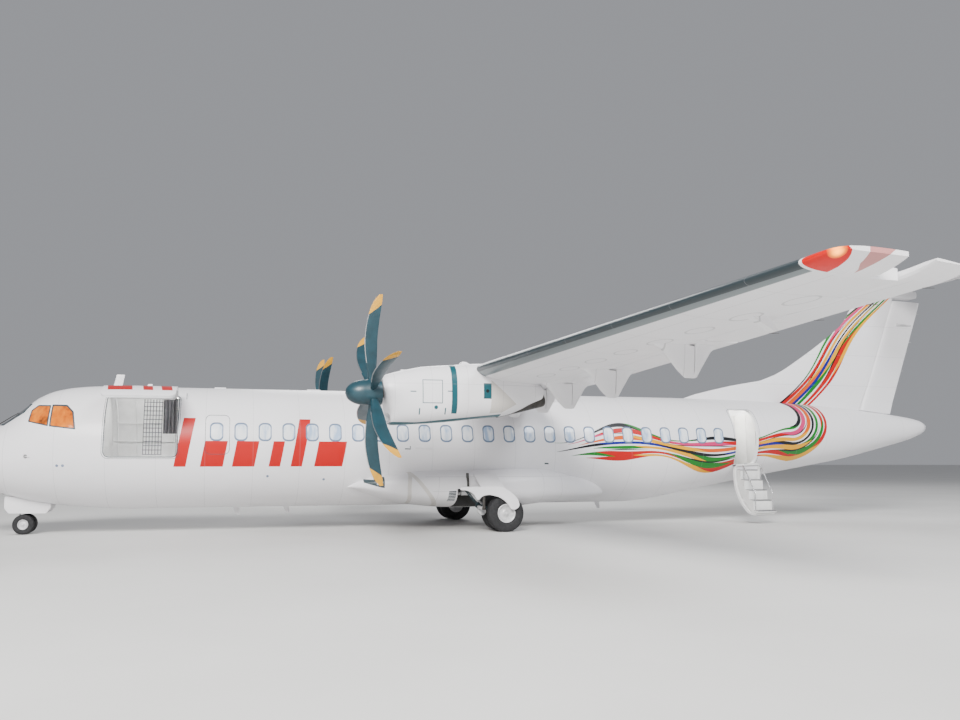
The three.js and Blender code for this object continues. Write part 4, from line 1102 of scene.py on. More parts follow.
def buildFairings():
    pieceOf("crestFairing", meshOf(tableLoft(crestRows, 2.6, 72, 0.12)), panelPaint,
            replaces=("wing_body_fairing",), slot="white_composite")
    start, end, top, deep = (wheelWell[key] for key in ("from", "to", "top", "inner"))
    mouth = [(start, 0.2), (end, 0.2), (end, 0.8), (12.8, 0.86), (12.66, 0.93), (12.5, top), (start, top)]
    wells = [meshOf(boxPart(start, end, *sorted((side * deep, side * 1.5)), 0.2, top)) for side in (-1, 1)]
    wells += [meshOf(prism(mouth, *sorted((side * 1.49, side * 2.1)))) for side in (-1, 1)]
    mesh = cutMesh(meshOf(bellyPart), wells)
    pieceOf("bellyFairing", mesh, [bellyPaint, recessShade], replaces=("belly_fairing",), slot="white_composite",
            angle=40)
    # the wells' walls, which face along the body, inboard or down, take the painted shade
    for face in mesh.polygons:
        x, y, z = face.center.x + halfLength, abs(face.center.y), face.center.z
        wall = abs(face.normal.x) > 0.9 or abs(face.normal.y) > 0.98 and y < deep + 0.01 or face.normal.z < -0.98
        if wall and start - 0.003 < x < end + 0.003 and y > deep - 0.003 and z < top + 0.003:
            face.material_index = 1


# outlines in x and z on the belly fairing's sides, and how the light's glass rises inside its outline
belly = {
    "surround": [(9.336, 1.212), (9.567, 1.198), (9.567, 1.251), (9.812, 1.271), (9.8, 1.011), (9.61, 1.054),
                 (9.336, 1.138)],
    "light": [(9.625, 1.085), (9.765, 1.06), (9.77, 1.225), (9.625, 1.215)],
    "glass": [(1.0, 0.006), (0.92, 0.014), (0.7, 0.016), (0.5, 0.018), (0.3, 0.018), (0.1, 0.018)],
    "grille": [(11.289, 0.935), (11.48, 0.945), (11.46, 0.702), (11.266, 0.696)],
    "slot": [(12.385, 1.285), (12.41, 1.285), (12.416, 1.075), (12.392, 1.075)],
    "slats": 6, "slatPitch": 0.035,
}


# the landing light in its black surround, the grille ahead of the wheel well and a slot behind it
def buildBellyDetails():
    flat = [(1.0, 0.0)] + [(share, 0.008) for share in (0.97, 0.85, 0.7, 0.55, 0.4, 0.25, 0.1)]
    grille = densely(belly["grille"], 0.06)
    dark, glass, slats = [], [], []
    for side in (-1, 1):
        glass.append(sidePatch(densely(belly["light"], 0.06), belly["glass"], side, bellyTree))
        for outline in (densely(belly["surround"], 0.03), grille, belly["slot"]):
            dark.append(sidePatch(outline, flat, side, bellyTree))
        slats.append(seam(grille, 0.014, 0.01, side, True, bellyTree))
        for k in range(belly["slats"]):
            back, down = k * 0.003, k * belly["slatPitch"]
            slat = densely([(11.285 - back, 0.9 - down), (11.47 - back, 0.908 - down)], 0.06, False)
            slats.append(seam(slat, 0.014, 0.011, side, False, bellyTree))
    meshPiece("bellyDarks", dark, darkTrim, slot="white_composite", angle=60)
    meshPiece("landingLightGlass", glass, lampGlass, slot="glass", angle=60)
    meshPiece("bellySlats", slats, whitePlain, slot="white_composite", angle=60)


buildFairings()
buildBellyDetails()
print("fairings made")

# Nacelles and propellers

nacelleY = 4.05
hub = {"x": 9.01, "z": 3.041, "tilt": radians(3), "front": 0.15, "rear": 0.17, "nose": 0.55}
# columns: station, top z, bottom z, half width, how far the lower half leans aft
nacelleRows = [
    (9.2, 3.335, 2.425, 0.3, 0.14), (9.225, 3.362, 2.385, 0.345, 0.14), (9.29, 3.4, 2.37, 0.38, 0.13),
    (9.45, 3.45, 2.374, 0.408, 0.1), (9.72, 3.513, 2.385, 0.432, 0.05), (10.05, 3.58, 2.402, 0.448, 0),
    (10.7, 3.636, 2.458, 0.46, 0), (11.13, 3.668, 2.51, 0.46, 0), (11.56, 3.687, 2.555, 0.455, 0),
    (11.8, 3.67, 2.58, 0.44, 0), (12.15, 3.52, 2.7, 0.385, 0), (12.4, 3.4, 2.83, 0.335, 0),
    (12.65, 3.23, 2.935, 0.28, 0),
]
# columns: station, top z, bottom z, half width
intakeRows = [(9.25, 2.64, 2.405, 0.25), (9.6, 2.58, 2.43, 0.2), (9.9, 2.54, 2.44, 0.15)]
# pairs of station and height over the nacelle's top
scoop = [(10.86, -0.03), (10.91, 0.055), (11.0, 0.05), (11.12, -0.01), (11.12, -0.05)]


def nacelleRing(x):
    row = sample(nacelleRows, x)
    return [(px + row[4] * min(1, max(0, (3.15 - z) / 0.5)), y, z)
            for px, y, z in ovalRing(row[:4], 0, 2.7, 80, -nacelleY)]


def buildNacelles():
    first, last = nacelleRows[0][0], nacelleRows[-1][0]
    skin = meshOf(loft([nacelleRing(x) for x in between(nacelleRows, first, last, 0.07)]))
    intake = meshOf(loft([ovalRing(row, 0, 2.6, 40, -nacelleY) for row in intakeRows]))
    mesh = cutMesh(skin, [intake])
    # the intake's walls and its end are dark with painted shade
    for face in mesh.polygons:
        x, y, z = face.center.x + halfLength, face.center.y + nacelleY, face.center.z
        _, top, bottom, half, _ = sample(nacelleRows, min(max(x, first), last))
        deep = (y / half) ** 2 + ((z - (top + bottom) / 2) / (top - bottom) * 2) ** 2
        wall = 9.26 < x < 9.95 and deep < 0.93 and z < 2.66 and abs(face.normal.x) < 0.9
        if wall or 9.85 < x < 9.95 and deep < 0.8:
            face.material_index = 1
    pairOf("nacelle", mesh, [nacellePaint, recessShade], replaces=("nacelle_{}",), slot="white_composite", angle=35)
    top = sample(nacelleRows, 10.97)[1]
    scoops = [edged(prism([(x, top + lift) for x, lift in scoop], -nacelleY - 0.09, -nacelleY + 0.09), 0.015),
              softBox(9.6, 9.8, -nacelleY - 0.05, -nacelleY + 0.05, 3.47, 3.515, 0.012)]
    pairOf("nacelleScoops", meshOf(*scoops), whitePlain, slot="white_composite")
    start, end = Vector((11.3, 0.25 - nacelleY, 2.62)), Vector((12.9, 0.45 - nacelleY, 3.0))
    outer = tube([start.lerp(end, share) for share in (0.3, 0.6, 0.98, 1)], [0.17, 0.17, 0.17, 0.165], 32)
    inner = tube([start.lerp(end, share) for share in (0.8, 1.1)], 0.152, 32)
    pairOf("exhaust", cutMesh(meshOf(outer), [meshOf(inner)]), darkMetal, slot="gear_paint")
    root = (hub["x"] + 0.12, -nacelleY, hub["z"] + 0.01)
    shaft = spun(root, (1, 0, sin(hub["tilt"])), [(0, 0.12), (0.3, 0.15)], 32)
    pairOf("gearboxNose", meshOf(shaft), darkMetal, replaces=("engine_{}",), slot="engine")


buildNacelles()

# columns: radius, chord, aft offset of the middle, thickness, twist in degrees
bladeRows = [
    (0.2, 0.15, 0, 0.11, 20), (0.33, 0.165, 0, 0.08, 18), (0.6, 0.235, -0.005, 0.046, 13),
    (1.0, 0.272, -0.015, 0.03, 7), (1.4, 0.262, 0.025, 0.02, 2), (1.7, 0.218, 0.09, 0.014, -3),
    (1.88, 0.15, 0.15, 0.01, -6), (1.98, 0.07, 0.2, 0.006, -7),
]
# rings and sides of a blade's mesh, and the rings where its yellow tip and its metal strip start
blade = {"count": 6, "rings": 45, "sides": 28, "tip": 39, "strip": 9, "turn": {"left": 13.2, "right": 35}}


# rows slant near the end, so that the painted tip's edge runs straight across the blade
def bladePart():
    rings = []
    end = bladeRows[-1][0]
    for i in range(blade["rings"]):
        radius = mix(bladeRows[0][0], end, i / (blade["rings"] - 1))
        slant = 0.1 * min(max(radius - 1.3, 0) / 0.478, (end - radius) / 0.202)
        ring = []
        for k in range(blade["sides"]):
            a = 2 * pi * k / blade["sides"]
            height = radius - slant * (1 - cos(a))
            _, chord, back, thick, twist = sample(bladeRows, height)
            c, s = cos(radians(twist)), sin(radians(twist))
            along, across = chord / 2 * cos(a), thick / 2 * sin(a) * (1 - 0.35 * cos(a))
            ring.append((back + along * c - across * s, along * s + across * c, height))
        rings.append(ring)
    return loft(rings)


# the finish of a blade's face: its yellow tip, and the metal strip on its front edge
def bladeMark(k, count):
    ring, place = divmod(k, blade["sides"])
    if ring >= blade["tip"] and k != count - 2:
        return 1
    front = 0.5 - 0.5 * cos(2 * pi * (place + 0.5) / blade["sides"]) > 0.93
    return 2 if front and blade["strip"] < ring < blade["tip"] else 0


def turned(part, matrix, shift):
    points, faces = part
    return [tuple(matrix @ Vector(p) + Vector(shift)) for p in points], faces


def spinnerPart():
    profile = [(-hub["nose"], 0.0)]
    for i in range(1, 15):
        t = i / 14
        profile.append((mix(-hub["nose"], -hub["front"], t), 0.262 * sqrt(1 - (1 - t) ** 1.9)))
    profile += [(-0.06, 0.273), (0.03, 0.28), (0.12, 0.279), (0.18, 0.272), (hub["rear"], 0.262)]
    return spun((0, 0, 0), (1, 0, 0), profile, 56)


def buildPropellers():
    one = bladePart()
    tilt = Matrix.Rotation(-hub["tilt"], 3, "Y")
    marks = [bladeMark(k, len(one[1])) for k in range(len(one[1]))] * blade["count"]
    for side, y in (("left", -nacelleY), ("right", nacelleY)):
        centre, first = (hub["x"], y, hub["z"]), radians(blade["turn"][side])
        blades = [turned(one, tilt @ Matrix.Rotation(first + i * 2 * pi / blade["count"], 3, "X"), centre)
                  for i in range(blade["count"])]
        propeller = f"propeller_{side}"
        piece = meshPiece(f"propellerBlades_{side}", blades, [bladePaint, bladeTip, bareMetal], propeller,
                          (propeller,), "blade")
        piece.data.polygons.foreach_set("material_index", marks)
        meshPiece(f"spinnerSkin_{side}", [turned(spinnerPart(), tilt, centre)], bladePaint, propeller,
                  (f"spinner_{side}",), "blade")


buildPropellers()
print("nacelles and propellers made")

# Tail

# columns: z, front station, rear station, thickness
finRows = [
    (3.08, 18.56, 24.59, 0.09), (3.42, 18.76, 24.72, 0.15), (3.8, 20.27, 24.88, 0.2),
    (3.97, 21.25, 24.95, 0.24), (4.35, 22.15, 25.105, 0.25), (5.66, 24.1, 25.64, 0.235),
    (6.24, 24.56, 25.88, 0.222), (6.56, 24.83, 26.01, 0.216), (6.9, 25.08, 26.14, 0.212),
]
# columns: z, front station, rear station
rudderRows = [(3.07, 24.65, 25.8), (3.42, 24.785, 25.915), (6.48, 26.018, 27.11), (6.56, 26.055, 27.125)]
# columns: station, top z, bottom z, half width, for the cap on the fin and the bullet on the tailplane
capRows = [(25.05, 6.8, 6.7, 0.02), (25.35, 6.96, 6.64, 0.12), (26.0, 6.96, 6.62, 0.15),
           (26.7, 6.96, 6.625, 0.125), (27.02, 6.9, 6.7, 0.04)]
bulletRows = [(25.0, 7.07, 6.97, 0.03), (25.3, 7.2, 6.95, 0.13), (26.1, 7.225, 6.95, 0.15),
              (26.7, 7.14, 6.97, 0.1), (length, 7.055, 7.01, 0.035)]
tailZ, tailHalf = 7.01, 3.655
tailRoot = {"le": 25.15, "chord": 2.016, "zLe": tailZ, "zTe": tailZ, "thick": 0.12}
tailTip = {"le": 25.85, "chord": 1.27, "zLe": tailZ, "zTe": tailZ, "thick": 0.11}


# a level ring, from pairs of station and half thickness along one side
def levelRing(side, z):
    return [(x, w, z) for x, w in side] + [(x, -w, z) for x, w in reversed(side)]


def finRing(z, start, end, thick):
    side = []
    for i in range(25):
        f = i / 24
        f = f * f * (3 - 2 * f) * 0.4 + f * 0.6
        swell = sin(pi * min(1, 0.02 + f * 0.63)) ** 0.72
        side.append((mix(start, end, f), thick / 2 * swell))
    return levelRing(side, z)


def rudderRing(z, start, end, thick):
    shape = [(0, 0.3), (0.012, 0.62), (0.04, 0.88), (0.09, 1.0), (0.2, 0.93), (0.4, 0.72), (0.7, 0.38), (1, 0.04)]
    return levelRing([(mix(start, end, f), thick / 2 * share) for f, share in shape], z)


def tailSection(y):
    t = abs(y) / tailHalf
    return {key: mix(tailRoot[key], tailTip[key], t) for key in tailRoot}


# a piece of the tailplane between two shares of its chord, from pairs of y and share of its thickness
def tailPiece(rows, start, end, **options):
    rings = []
    for y, share in rows:
        section = tailSection(y)
        section["thick"] *= share
        rings.append(foilRing(section, y, start, end, arch=0, **options))
    return loft(rings)


tailplanePaint = whitePaint("tailplanePaint", [("y", 0.0, 0.73, 0.004)])


def buildTail():
    fin = loft([finRing(*sample(finRows, z)) for z in between(finRows, finRows[0][0], finRows[-1][0], 0.15)])
    room = prism([(24.62, 3.0), (26.02, 6.618), (28, 6.618), (28, 3.0)], -0.4, 0.4)
    cap = cutMesh(meshOf(tableLoft(capRows, 2.4, 40, 0.06)), [meshOf(room)])
    pieceOf("fin", joinMeshes([meshOf(fin), cap]), tailPaint, replaces=("fin",), slot="white_composite")
    rudder = meshOf(loft([rudderRing(*row, 0.165) for row in rudderRows]))
    mesh = cutMesh(rudder, [meshOf(body(24, 27.0, 0.016, 64, 0.3))])
    pieceOf("rudder", mesh, tailPaint, "rudder", ("rudder",), "white_composite")
    end = [(3.56, 1), (3.61, 0.78), (3.642, 0.5), (tailHalf, 0.3)]
    fixed = tailPiece([(-y, share) for y, share in reversed(end)] + [(0, 1)] + end, 0, 0.66)
    centre = tailPiece([(-0.15, 1), (0.15, 1)], 0.64, 1, grow=-0.0015)
    parts = [meshOf(part) for part in (fixed, centre, tableLoft(bulletRows, 2.2, 40, 0.06))]
    pieceOf("tailplane", joinMeshes(parts), tailplanePaint, replaces=("tailplane",), slot="white_composite")
    elevator = tailPiece([(-3.56, 1), (-0.175, 1)], 0.675, 1, nose=True)
    pairOf("elevator", meshOf(elevator), tailplanePaint, "elevator_{}", ("elevator_{}",), "white_composite")
    lens = [(0, 0.075), (0.03, 0.075), (0.035, 0.06), (0.12, 0.055), (0.16, 0.035), (0.18, 0.0)]
    beacon = spun((26.05, 0, tailZ + 0.19), (0, 0, 1), lens, 32)
    meshPiece("beacon", [beacon], beaconLens, slot="lamp_red")


buildTail()
print("tail made")

# Landing gear

wheelSets = {
    "main": {"x": 12.52, "y": -2.05, "radius": 0.432, "width": 0.25, "spacing": 0.4, "bolts": 10},
    "nose": {"x": 1.75, "y": 0.0, "radius": 0.225, "width": 0.15, "spacing": 0.33, "bolts": 8},
}


# a tyre with four grooves; pairs of half widths and radii run once round its section
def tyrePart(gear, y):
    r, w = gear["radius"], gear["width"] / 2
    bore = r * 0.49
    side = [(0.78, bore), (0.86, bore + r * 0.02), (0.96, mix(bore, r, 0.28)), (1.0, mix(bore, r, 0.46)),
            (0.985, mix(bore, r, 0.62)), (0.92, mix(bore, r, 0.8)), (0.83, mix(bore, r, 0.91)),
            (0.72, mix(bore, r, 0.97)), (0.58, r)]
    tread = [(g + off, r - dip) for g in (0.42, 0.14, -0.14, -0.42)
             for off, dip in ((0.05, 0), (0.035, r * 0.02), (-0.035, r * 0.02), (-0.05, 0))]
    profile = side + tread + [(-s, q) for s, q in reversed(side)]
    return spun((gear["x"], y, r), (0, 1, 0), [(s * w, q) for s, q in profile], 72, hollow=True)


# a wheel with a dished face, its cap and its nuts; out is the way that the face looks
def wheelPart(gear, y, out):
    r, w = gear["radius"], gear["width"] / 2

    # a turned part at a share of the radius and an angle, from shares of the half width and the radius
    def onFace(away, turn, profile, sides):
        at = (gear["x"] + away * r * cos(turn), y, r + away * r * sin(turn))
        return spun(at, (0, out, 0), [(s * w, q * r) for s, q in profile], sides)

    dish = [(0.86, 0), (0.86, 0.055), (0.82, 0.085), (0.62, 0.1), (0.6, 0.15), (0.52, 0.175), (0.44, 0.215),
            (0.42, 0.3), (0.47, 0.365), (0.62, 0.405), (0.78, 0.43), (0.86, 0.455), (0.88, 0.48),
            (0.84, 0.5), (0.7, 0.505), (-0.7, 0.505), (-0.82, 0.5), (-0.8, 0.455), (-0.86, 0.43),
            (-0.9, 0.38), (-0.9, 0)]
    nut = [(0.4, 0.03), (0.5, 0.03), (0.505, 0.018), (0.58, 0.016)]
    valve = [(0.38, 0.016), (0.52, 0.014), (0.54, 0.008)]
    nuts = [onFace(0.335, 2 * pi * (k + 0.5) / gear["bolts"], nut, 8) for k in range(gear["bolts"])]
    return [onFace(0, 0, dish, 72), *nuts, *[onFace(0.255, turn, valve, 12) for turn in (0.4, 2.5, 4.6)]]


# two wheels on their axle, and their tyres
def placeWheels(gear, name, body, wheelNode, tyreNodes, side=1):
    y = gear["y"] * side
    low, high = y - gear["spacing"] / 2, y + gear["spacing"] / 2
    axle = tube([(gear["x"], low, gear["radius"]), (gear["x"], high, gear["radius"])], gear["radius"] * 0.118, 32)
    wheels = [axle, *wheelPart(gear, low, -1), *wheelPart(gear, high, 1)]
    meshPiece(name, wheels, wheelPaint, body, (wheelNode,), "wheel_paint", angle=32)
    for node, place in zip(tyreNodes, (low, high)):
        meshPiece(node + "Rubber", [tyrePart(gear, place)], tyreRubber, body, (node,), "tyre", angle=40)


# the main leg's points: its trunnion, its shoulder, its knee, and the shock strut's ends
mainLeg = {
    "root": Vector((11.74, -1.33, 0.89)), "shoulder": Vector((11.74, -1.56, 0.9)),
    "knee": Vector((12.01, -2.05, 0.47)),
    "low": Vector((12.2, -1.935, 0.52)), "high": Vector((11.83, -1.44, 0.93)),
}


# a short turned collar or pin: half its length to each side of a point, and its radii
def collar(point, axis, half, profile, sides):
    return spun(point - Vector(axis) * half, axis, profile, sides)


def buildLeg(gear):
    x, y, r = gear["x"], gear["y"], gear["radius"]
    root, shoulder, knee = mainLeg["root"], mainLeg["shoulder"], mainLeg["knee"]
    alongX, alongY = (1, 0, 0), (0, 1, 0)
    trail = [knee.lerp(Vector((x, y, r)), t) for t in (0, 0.15, 0.4, 0.7, 0.9, 1)]
    casting = together(
        tube([(11.503, -1.33, 0.89), (12.957, -1.33, 0.89)], 0.056, 28),
        *[spun((a, -1.33, 0.89), alongX, [(0, 0.06), (0.006, 0.072), (0.05, 0.072), (0.056, 0.06)], 28)
          for a in (11.51, 11.64, 11.8, 12.26, 12.89)],
        tube([root, shoulder], [0.078, 0.074], 24),
        collar(shoulder, alongX, 0.09, [(0, 0.06), (0.01, 0.078), (0.17, 0.078), (0.18, 0.06)], 28),
        tube([shoulder.lerp(knee, t) for t in (0, 0.1, 0.25, 0.5, 0.75, 0.9, 1)],
             [0.074, 0.07, 0.058, 0.053, 0.058, 0.068, 0.072], 24),
        tube(trail, [0.064, 0.06, 0.05, 0.05, 0.06, 0.066], 24),
        collar(knee, alongY, 0.078, [(0, 0.05), (0.006, 0.085), (0.15, 0.085), (0.156, 0.05)], 32),
        slab(11.903, 11.987, -2.382, y + 0.005, 0.523, 0.587, 0.006),
        slab(11.903, 11.987, y - 0.04, y + 0.02, 0.445, 0.6, 0.006),
        edged(crossPrism([(-1.4, 0.93), (-1.58, 0.95), (-1.72, 0.76), (-1.62, 0.74), (-1.42, 0.82)],
                         11.725, 11.755), 0.006),
        edged(prism([(12.02, 0.56), (12.16, 0.5), (12.42, 0.475), (12.42, 0.4), (12.16, 0.39), (12.02, 0.4)],
                    y - 0.016, y + 0.016), 0.006))
    ring = [(0, 0.056), (0, 0.098), (0.008, 0.105), (0.124, 0.105), (0.132, 0.098), (0.132, 0.056)]
    hubRing = spun((x, y - 0.066, r), alongY, ring, 40, hollow=True)
    bore = meshOf(spun((x, y - 0.2, r), alongY, [(0, 0.0545), (0.4, 0.0545)], 40))
    mesh = joinMeshes([cutMesh(joinMeshes([meshOf(casting)]), [bore]), meshOf(hubRing)])
    pairOf("gearLeg", mesh, gearPaint, replaces=("main_gear_leg_{}",), slot="gear_paint")

    low, high = mainLeg["low"], mainLeg["high"]
    strut = together(
        tube([high, low.lerp(high, 0.42)], 0.046, 28),
        tube([low.lerp(high, 0.46), low.lerp(high, 0.42)], 0.054, 28),
        tube([low.lerp(high, 0.98), high], 0.056, 28), collar(high, alongX, 0.05, [(0, 0.05), (0.1, 0.05)], 24))
    rods = together(
        tube([low, low.lerp(high, 0.45)], 0.028, 24), collar(low, alongY, 0.05, [(0, 0.042), (0.08, 0.042)], 24),
        collar(knee, alongY, 0.092, [(0, 0.032), (0.184, 0.032)], 8),
        collar(shoulder, alongX, 0.105, [(0, 0.03), (0.21, 0.03)], 8))
    pairOf("gearStrut", meshOf(strut), wheelPaint, slot="gear_paint")
    pairOf("gearRods", meshOf(rods), bareMetal, slot="gear_paint")


# three brake hoses along the leg, and the clamps that hold them
def buildHoses(y):
    hoses = []
    for shift, size in ((0.0, 0.01), (0.03, 0.007), (0.055, 0.009)):
        path = [(11.7 + shift, -1.36, 0.975), (11.72 + shift, -1.56, 0.985), (11.8 + shift, -1.74, 0.83),
                (11.9 + shift, -1.93, 0.66), (12.02 + shift, y + 0.02, 0.575 + shift / 2),
                (12.22, y + 0.03 + shift / 3, 0.525 + shift / 2), (12.42, y + 0.05, 0.56),
                (12.5, y + 0.03, 0.545)]
        hoses.append(tube(curved(path, 6), size, 8))
    clamps = [spun((11.94, -1.93, 0.62), (0.5, -0.7, -0.5), [(0, 0.072), (0.03, 0.072)], 20),
              spun((12.28, y, 0.45), (1, 0, -0.07), [(0, 0.062), (0.025, 0.062)], 20)]
    pairOf("gearHoses", meshOf(*hoses, *clamps), darkTrim, slot="gear_paint")


# the leg's door: a plate curved over the wheel, its lip, the panel above it, and its arms
def buildLegDoor():
    outer = curved([(11.37, 1.03), (11.51, 1.05), (12.19, 1.055), (12.41, 1.03), (12.63, 0.9), (12.78, 0.74),
                    (12.8, 0.59), (12.7, 0.52)])
    inner = curved([(12.61, 0.53), (12.48, 0.7), (12.31, 0.81), (12.09, 0.86), (11.92, 0.84), (11.8, 0.75),
                    (11.7, 0.877), (11.56, 0.958), (11.39, 0.98)])
    lip = [(px + (0.016 if px > 12.2 else 0), pz + 0.016) for px, pz in inner]
    panel = [(-2.44, 1.01), (-2.412, 0.985), (-1.79, 1.3), (-1.79, 1.338), (-1.815, 1.34)]
    rib = [(-2.4, 0.985), (-1.86, 1.262), (-1.88, 1.235), (-2.4, 0.95)]
    door = together(edged(prism(outer + inner, -2.44, -2.414), 0.005),
                    edged(prism(lip[:26] + inner[:26][::-1], -2.425, -2.385), 0.003),
                    edged(crossPrism(panel, 11.9, 12.46), 0.005),
                    *[edged(crossPrism(rib, a, a + 0.02), 0.003) for a in (11.95, 12.17, 12.39)])
    pairOf("gearDoor", meshOf(door), panelPaint, replaces=("main_gear_door_{}",), slot="white_composite")
    arms = together(slab(11.905, 11.985, -2.413, -2.387, 0.523, 0.587, 0.005),
                    slab(11.915, 11.975, -2.433, -2.409, 0.523, 0.9, 0.005),
                    edged(prism([(11.735, 1.04), (11.775, 1.04), (11.765, 1.36), (11.745, 1.36)],
                                -1.86, -1.7), 0.002))
    pairOf("gearDoorArm", meshOf(arms), darkMetal, slot="gear_paint")


def mainGear():
    gear = wheelSets["main"]
    buildLeg(gear)
    buildHoses(gear["y"])
    buildLegDoor()
    for side, sign, ends in (("left", 1, ("outer", "inner")), ("right", -1, ("inner", "outer"))):
        tyres = [f"main_tyre_{side}_{end}" for end in ends]
        placeWheels(gear, f"mainWheels_{side}", f"main_wheels_{side}", f"main_wheels_{side}", tyres, sign)


def noseGear():
    gear = wheelSets["nose"]
    x, r = gear["x"], gear["radius"]
    lamp = {"axis": (-1, 0, -0.03), "body": [(-0.06, 0.035), (-0.05, 0.062), (0.02, 0.078), (0.035, 0.08),
                                             (0.036, 0.07), (0.026, 0.0)],
            "glass": [(0, 0.069), (0.004, 0.066), (0.01, 0.045), (0.012, 0.0)]}
    cylinder = [(0, 0.052), (0.004, 0.066), (0.05, 0.07), (0.055, 0.062), (0.3, 0.062), (0.305, 0.07),
                (0.36, 0.07), (0.365, 0.062), (0.6, 0.066), (0.7697, 0.07)]
    lug = [(x - 0.05, 0.6), (x - 0.135, 0.56), (x - 0.135, 0.535), (x - 0.05, 0.565)]
    leg = together(
        spun((x, 0, 0.56), (0, 0, 1), cylinder, 36), tube([(x + 0.03, 0, 1.01), (2.29, 0, 1.285)], 0.036, 20),
        tube([(x + 0.1, 0, 1.04), (x + 0.16, 0, 1.072)], 0.046, 20),
        slab(2.243, 2.327, -0.197, 0.197, 1.253, 1.3295, 0.008),
        *[slab(x - 0.02, x + 0.02, *sorted((side * 0.05, side * 0.26)), 1.24, 1.3, 0.006) for side in (-1, 1)],
        edged(prism(lug, -0.03, 0.03)), spun((x - 0.115, 0, 0.8), lamp["axis"], lamp["body"], 32))
    meshPiece("noseStrut", [leg], gearPaint, replaces=("nose_gear_leg",), slot="gear_paint")
    glass = spun((x - 0.143, 0, 0.799), lamp["axis"], lamp["glass"], 32)
    meshPiece("noseLampGlass", [glass], lampGlass, slot="glass")
    post = [(0, 0.04), (0.05, 0.048), (0.06, 0.054), (0.1, 0.054), (0.105, 0.046), (0.3297, 0.046)]
    ring = [(0, 0.031), (0, 0.056), (0.006, 0.062), (0.098, 0.062), (0.104, 0.056), (0.104, 0.031)]
    link = [(x - 0.127, 0.303), (x - 0.097, 0.303), (x - 0.105, 0.42), (x - 0.098, 0.515), (x - 0.127, 0.515)]
    fork = together(
        spun((x, 0, r + 0.005), (0, 0, 1), post, 32), spun((x, -0.052, r), (0, 1, 0), ring, 36, hollow=True),
        slab(x - 0.127, x - 0.035, -0.028, 0.028, 0.303, 0.342, 0.005), edged(prism(link, -0.026, 0.026), 0.005))
    bore = meshOf(spun((x, -0.2, r), (0, 1, 0), [(0, 0.03), (0.4, 0.03)], 32))
    mesh = cutMesh(meshOf(fork), [bore])
    pieceOf("noseFork", mesh, bareMetal, "nose_gear_fork", ("nose_gear_fork",), "gear_paint")
    y = -noseWell["half"] + 0.0003
    panel = softened([(1.36, 0.86), (2.33, 0.78), (2.33, 0.6), (2.23, 0.47), (1.45, 0.48), (1.36, 0.6)], 0.03)
    ribs = [prism([(a, 0.8), (a + 0.03, 0.8), (a + 0.03, 0.52), (a, 0.52)], y + 0.02, y + 0.036)
            for a in (1.5, 1.8, 2.1)]
    door = together(edged(prism(panel, y + 0.0004, y + 0.0216)), *[edged(rib, 0.003) for rib in ribs],
                    tube([(1.86, y + 0.03, 0.7), (1.8, y + 0.13, 1.1)], 0.01, 10))
    pairOf("noseGearDoor", meshOf(door), panelPaint, replaces=("nose_gear_door_{}",), slot="white_metal")
    placeWheels(gear, "noseWheelSet", "nose_wheels", "nose_wheels", ["nose_tyre_left", "nose_tyre_right"])


mainGear()
noseGear()
print("landing gear made")

# Doors, doorways and the rooms behind them

cargoHinge = (skinY(cargo["from"], cargo["high"]) - 0.002, cargo["high"] - 0.002)
entryHinge = (skinY(entry["from"], entry["low"]) - 0.01, entry["low"] - 0.004)
stair = {"steps": 5, "rise": 0.262, "run": 0.164, "lift": 0.12, "side": 0.09, "rail": 0.43, "reach": 1.478}


# a mesh turned round a door's hinge line
def turnedMesh(mesh, hinge, angle):
    y, z = hinge
    turn = Matrix.Rotation(radians(angle), 4, "X")
    mesh.transform(Matrix.Translation((0, y, z)) @ turn @ Matrix.Translation((0, -y, -z)))
    return mesh


# the part of the skin between two depths that lies inside a door's outline, less its pockets
def shellLayer(door, outer, inner, shrink=0.008, pockets=()):
    start, end = door["from"] - 0.02, door["to"] + 0.02
    within = meshOf(body(start - 0.01, end + 0.01, inner, 128, 0.1))
    ring = cutMesh(meshOf(body(start, end, outer, 128, 0.1)), [within])
    panel = cutMesh(ring, [meshOf(prism(doorOutline(door, -shrink, 0.138, 10), -1.63, -0.7))], "INTERSECT")
    return cutMesh(panel, [meshOf(prism(pocket, -1.7, -0.6)) for pocket in pockets])


# the outlines of a door's pockets in columns and rows, with ribs between them
def pocketGrid(door, columns, rows, edge=0.075, rib=0.045):
    x0, x1, z0, z1 = door["from"] + edge, door["to"] - edge, door["low"] + edge, door["high"] - edge
    wide, tall = (x1 - x0 + rib) / columns, (z1 - z0 + rib) / rows
    return [roundedOutline(x0 + i * wide, x0 + (i + 1) * wide - rib, z0 + j * tall,
                           z0 + (j + 1) * tall - rib, 0.03, 4)
            for i in range(columns) for j in range(rows)]


# a door's barrels along its hinge line
def barrelParts(door, hinge, spans, radius):
    width = door["to"] - door["from"]
    barrels = []
    for a, b in spans:
        reach = (b - a) * width
        profile = [(0, radius * 0.8), (0.003, radius), (reach - 0.003, radius), (reach, radius * 0.8)]
        barrels.append(spun((door["from"] + a * width, *hinge), (1, 0, 0), profile, 20))
    return barrels


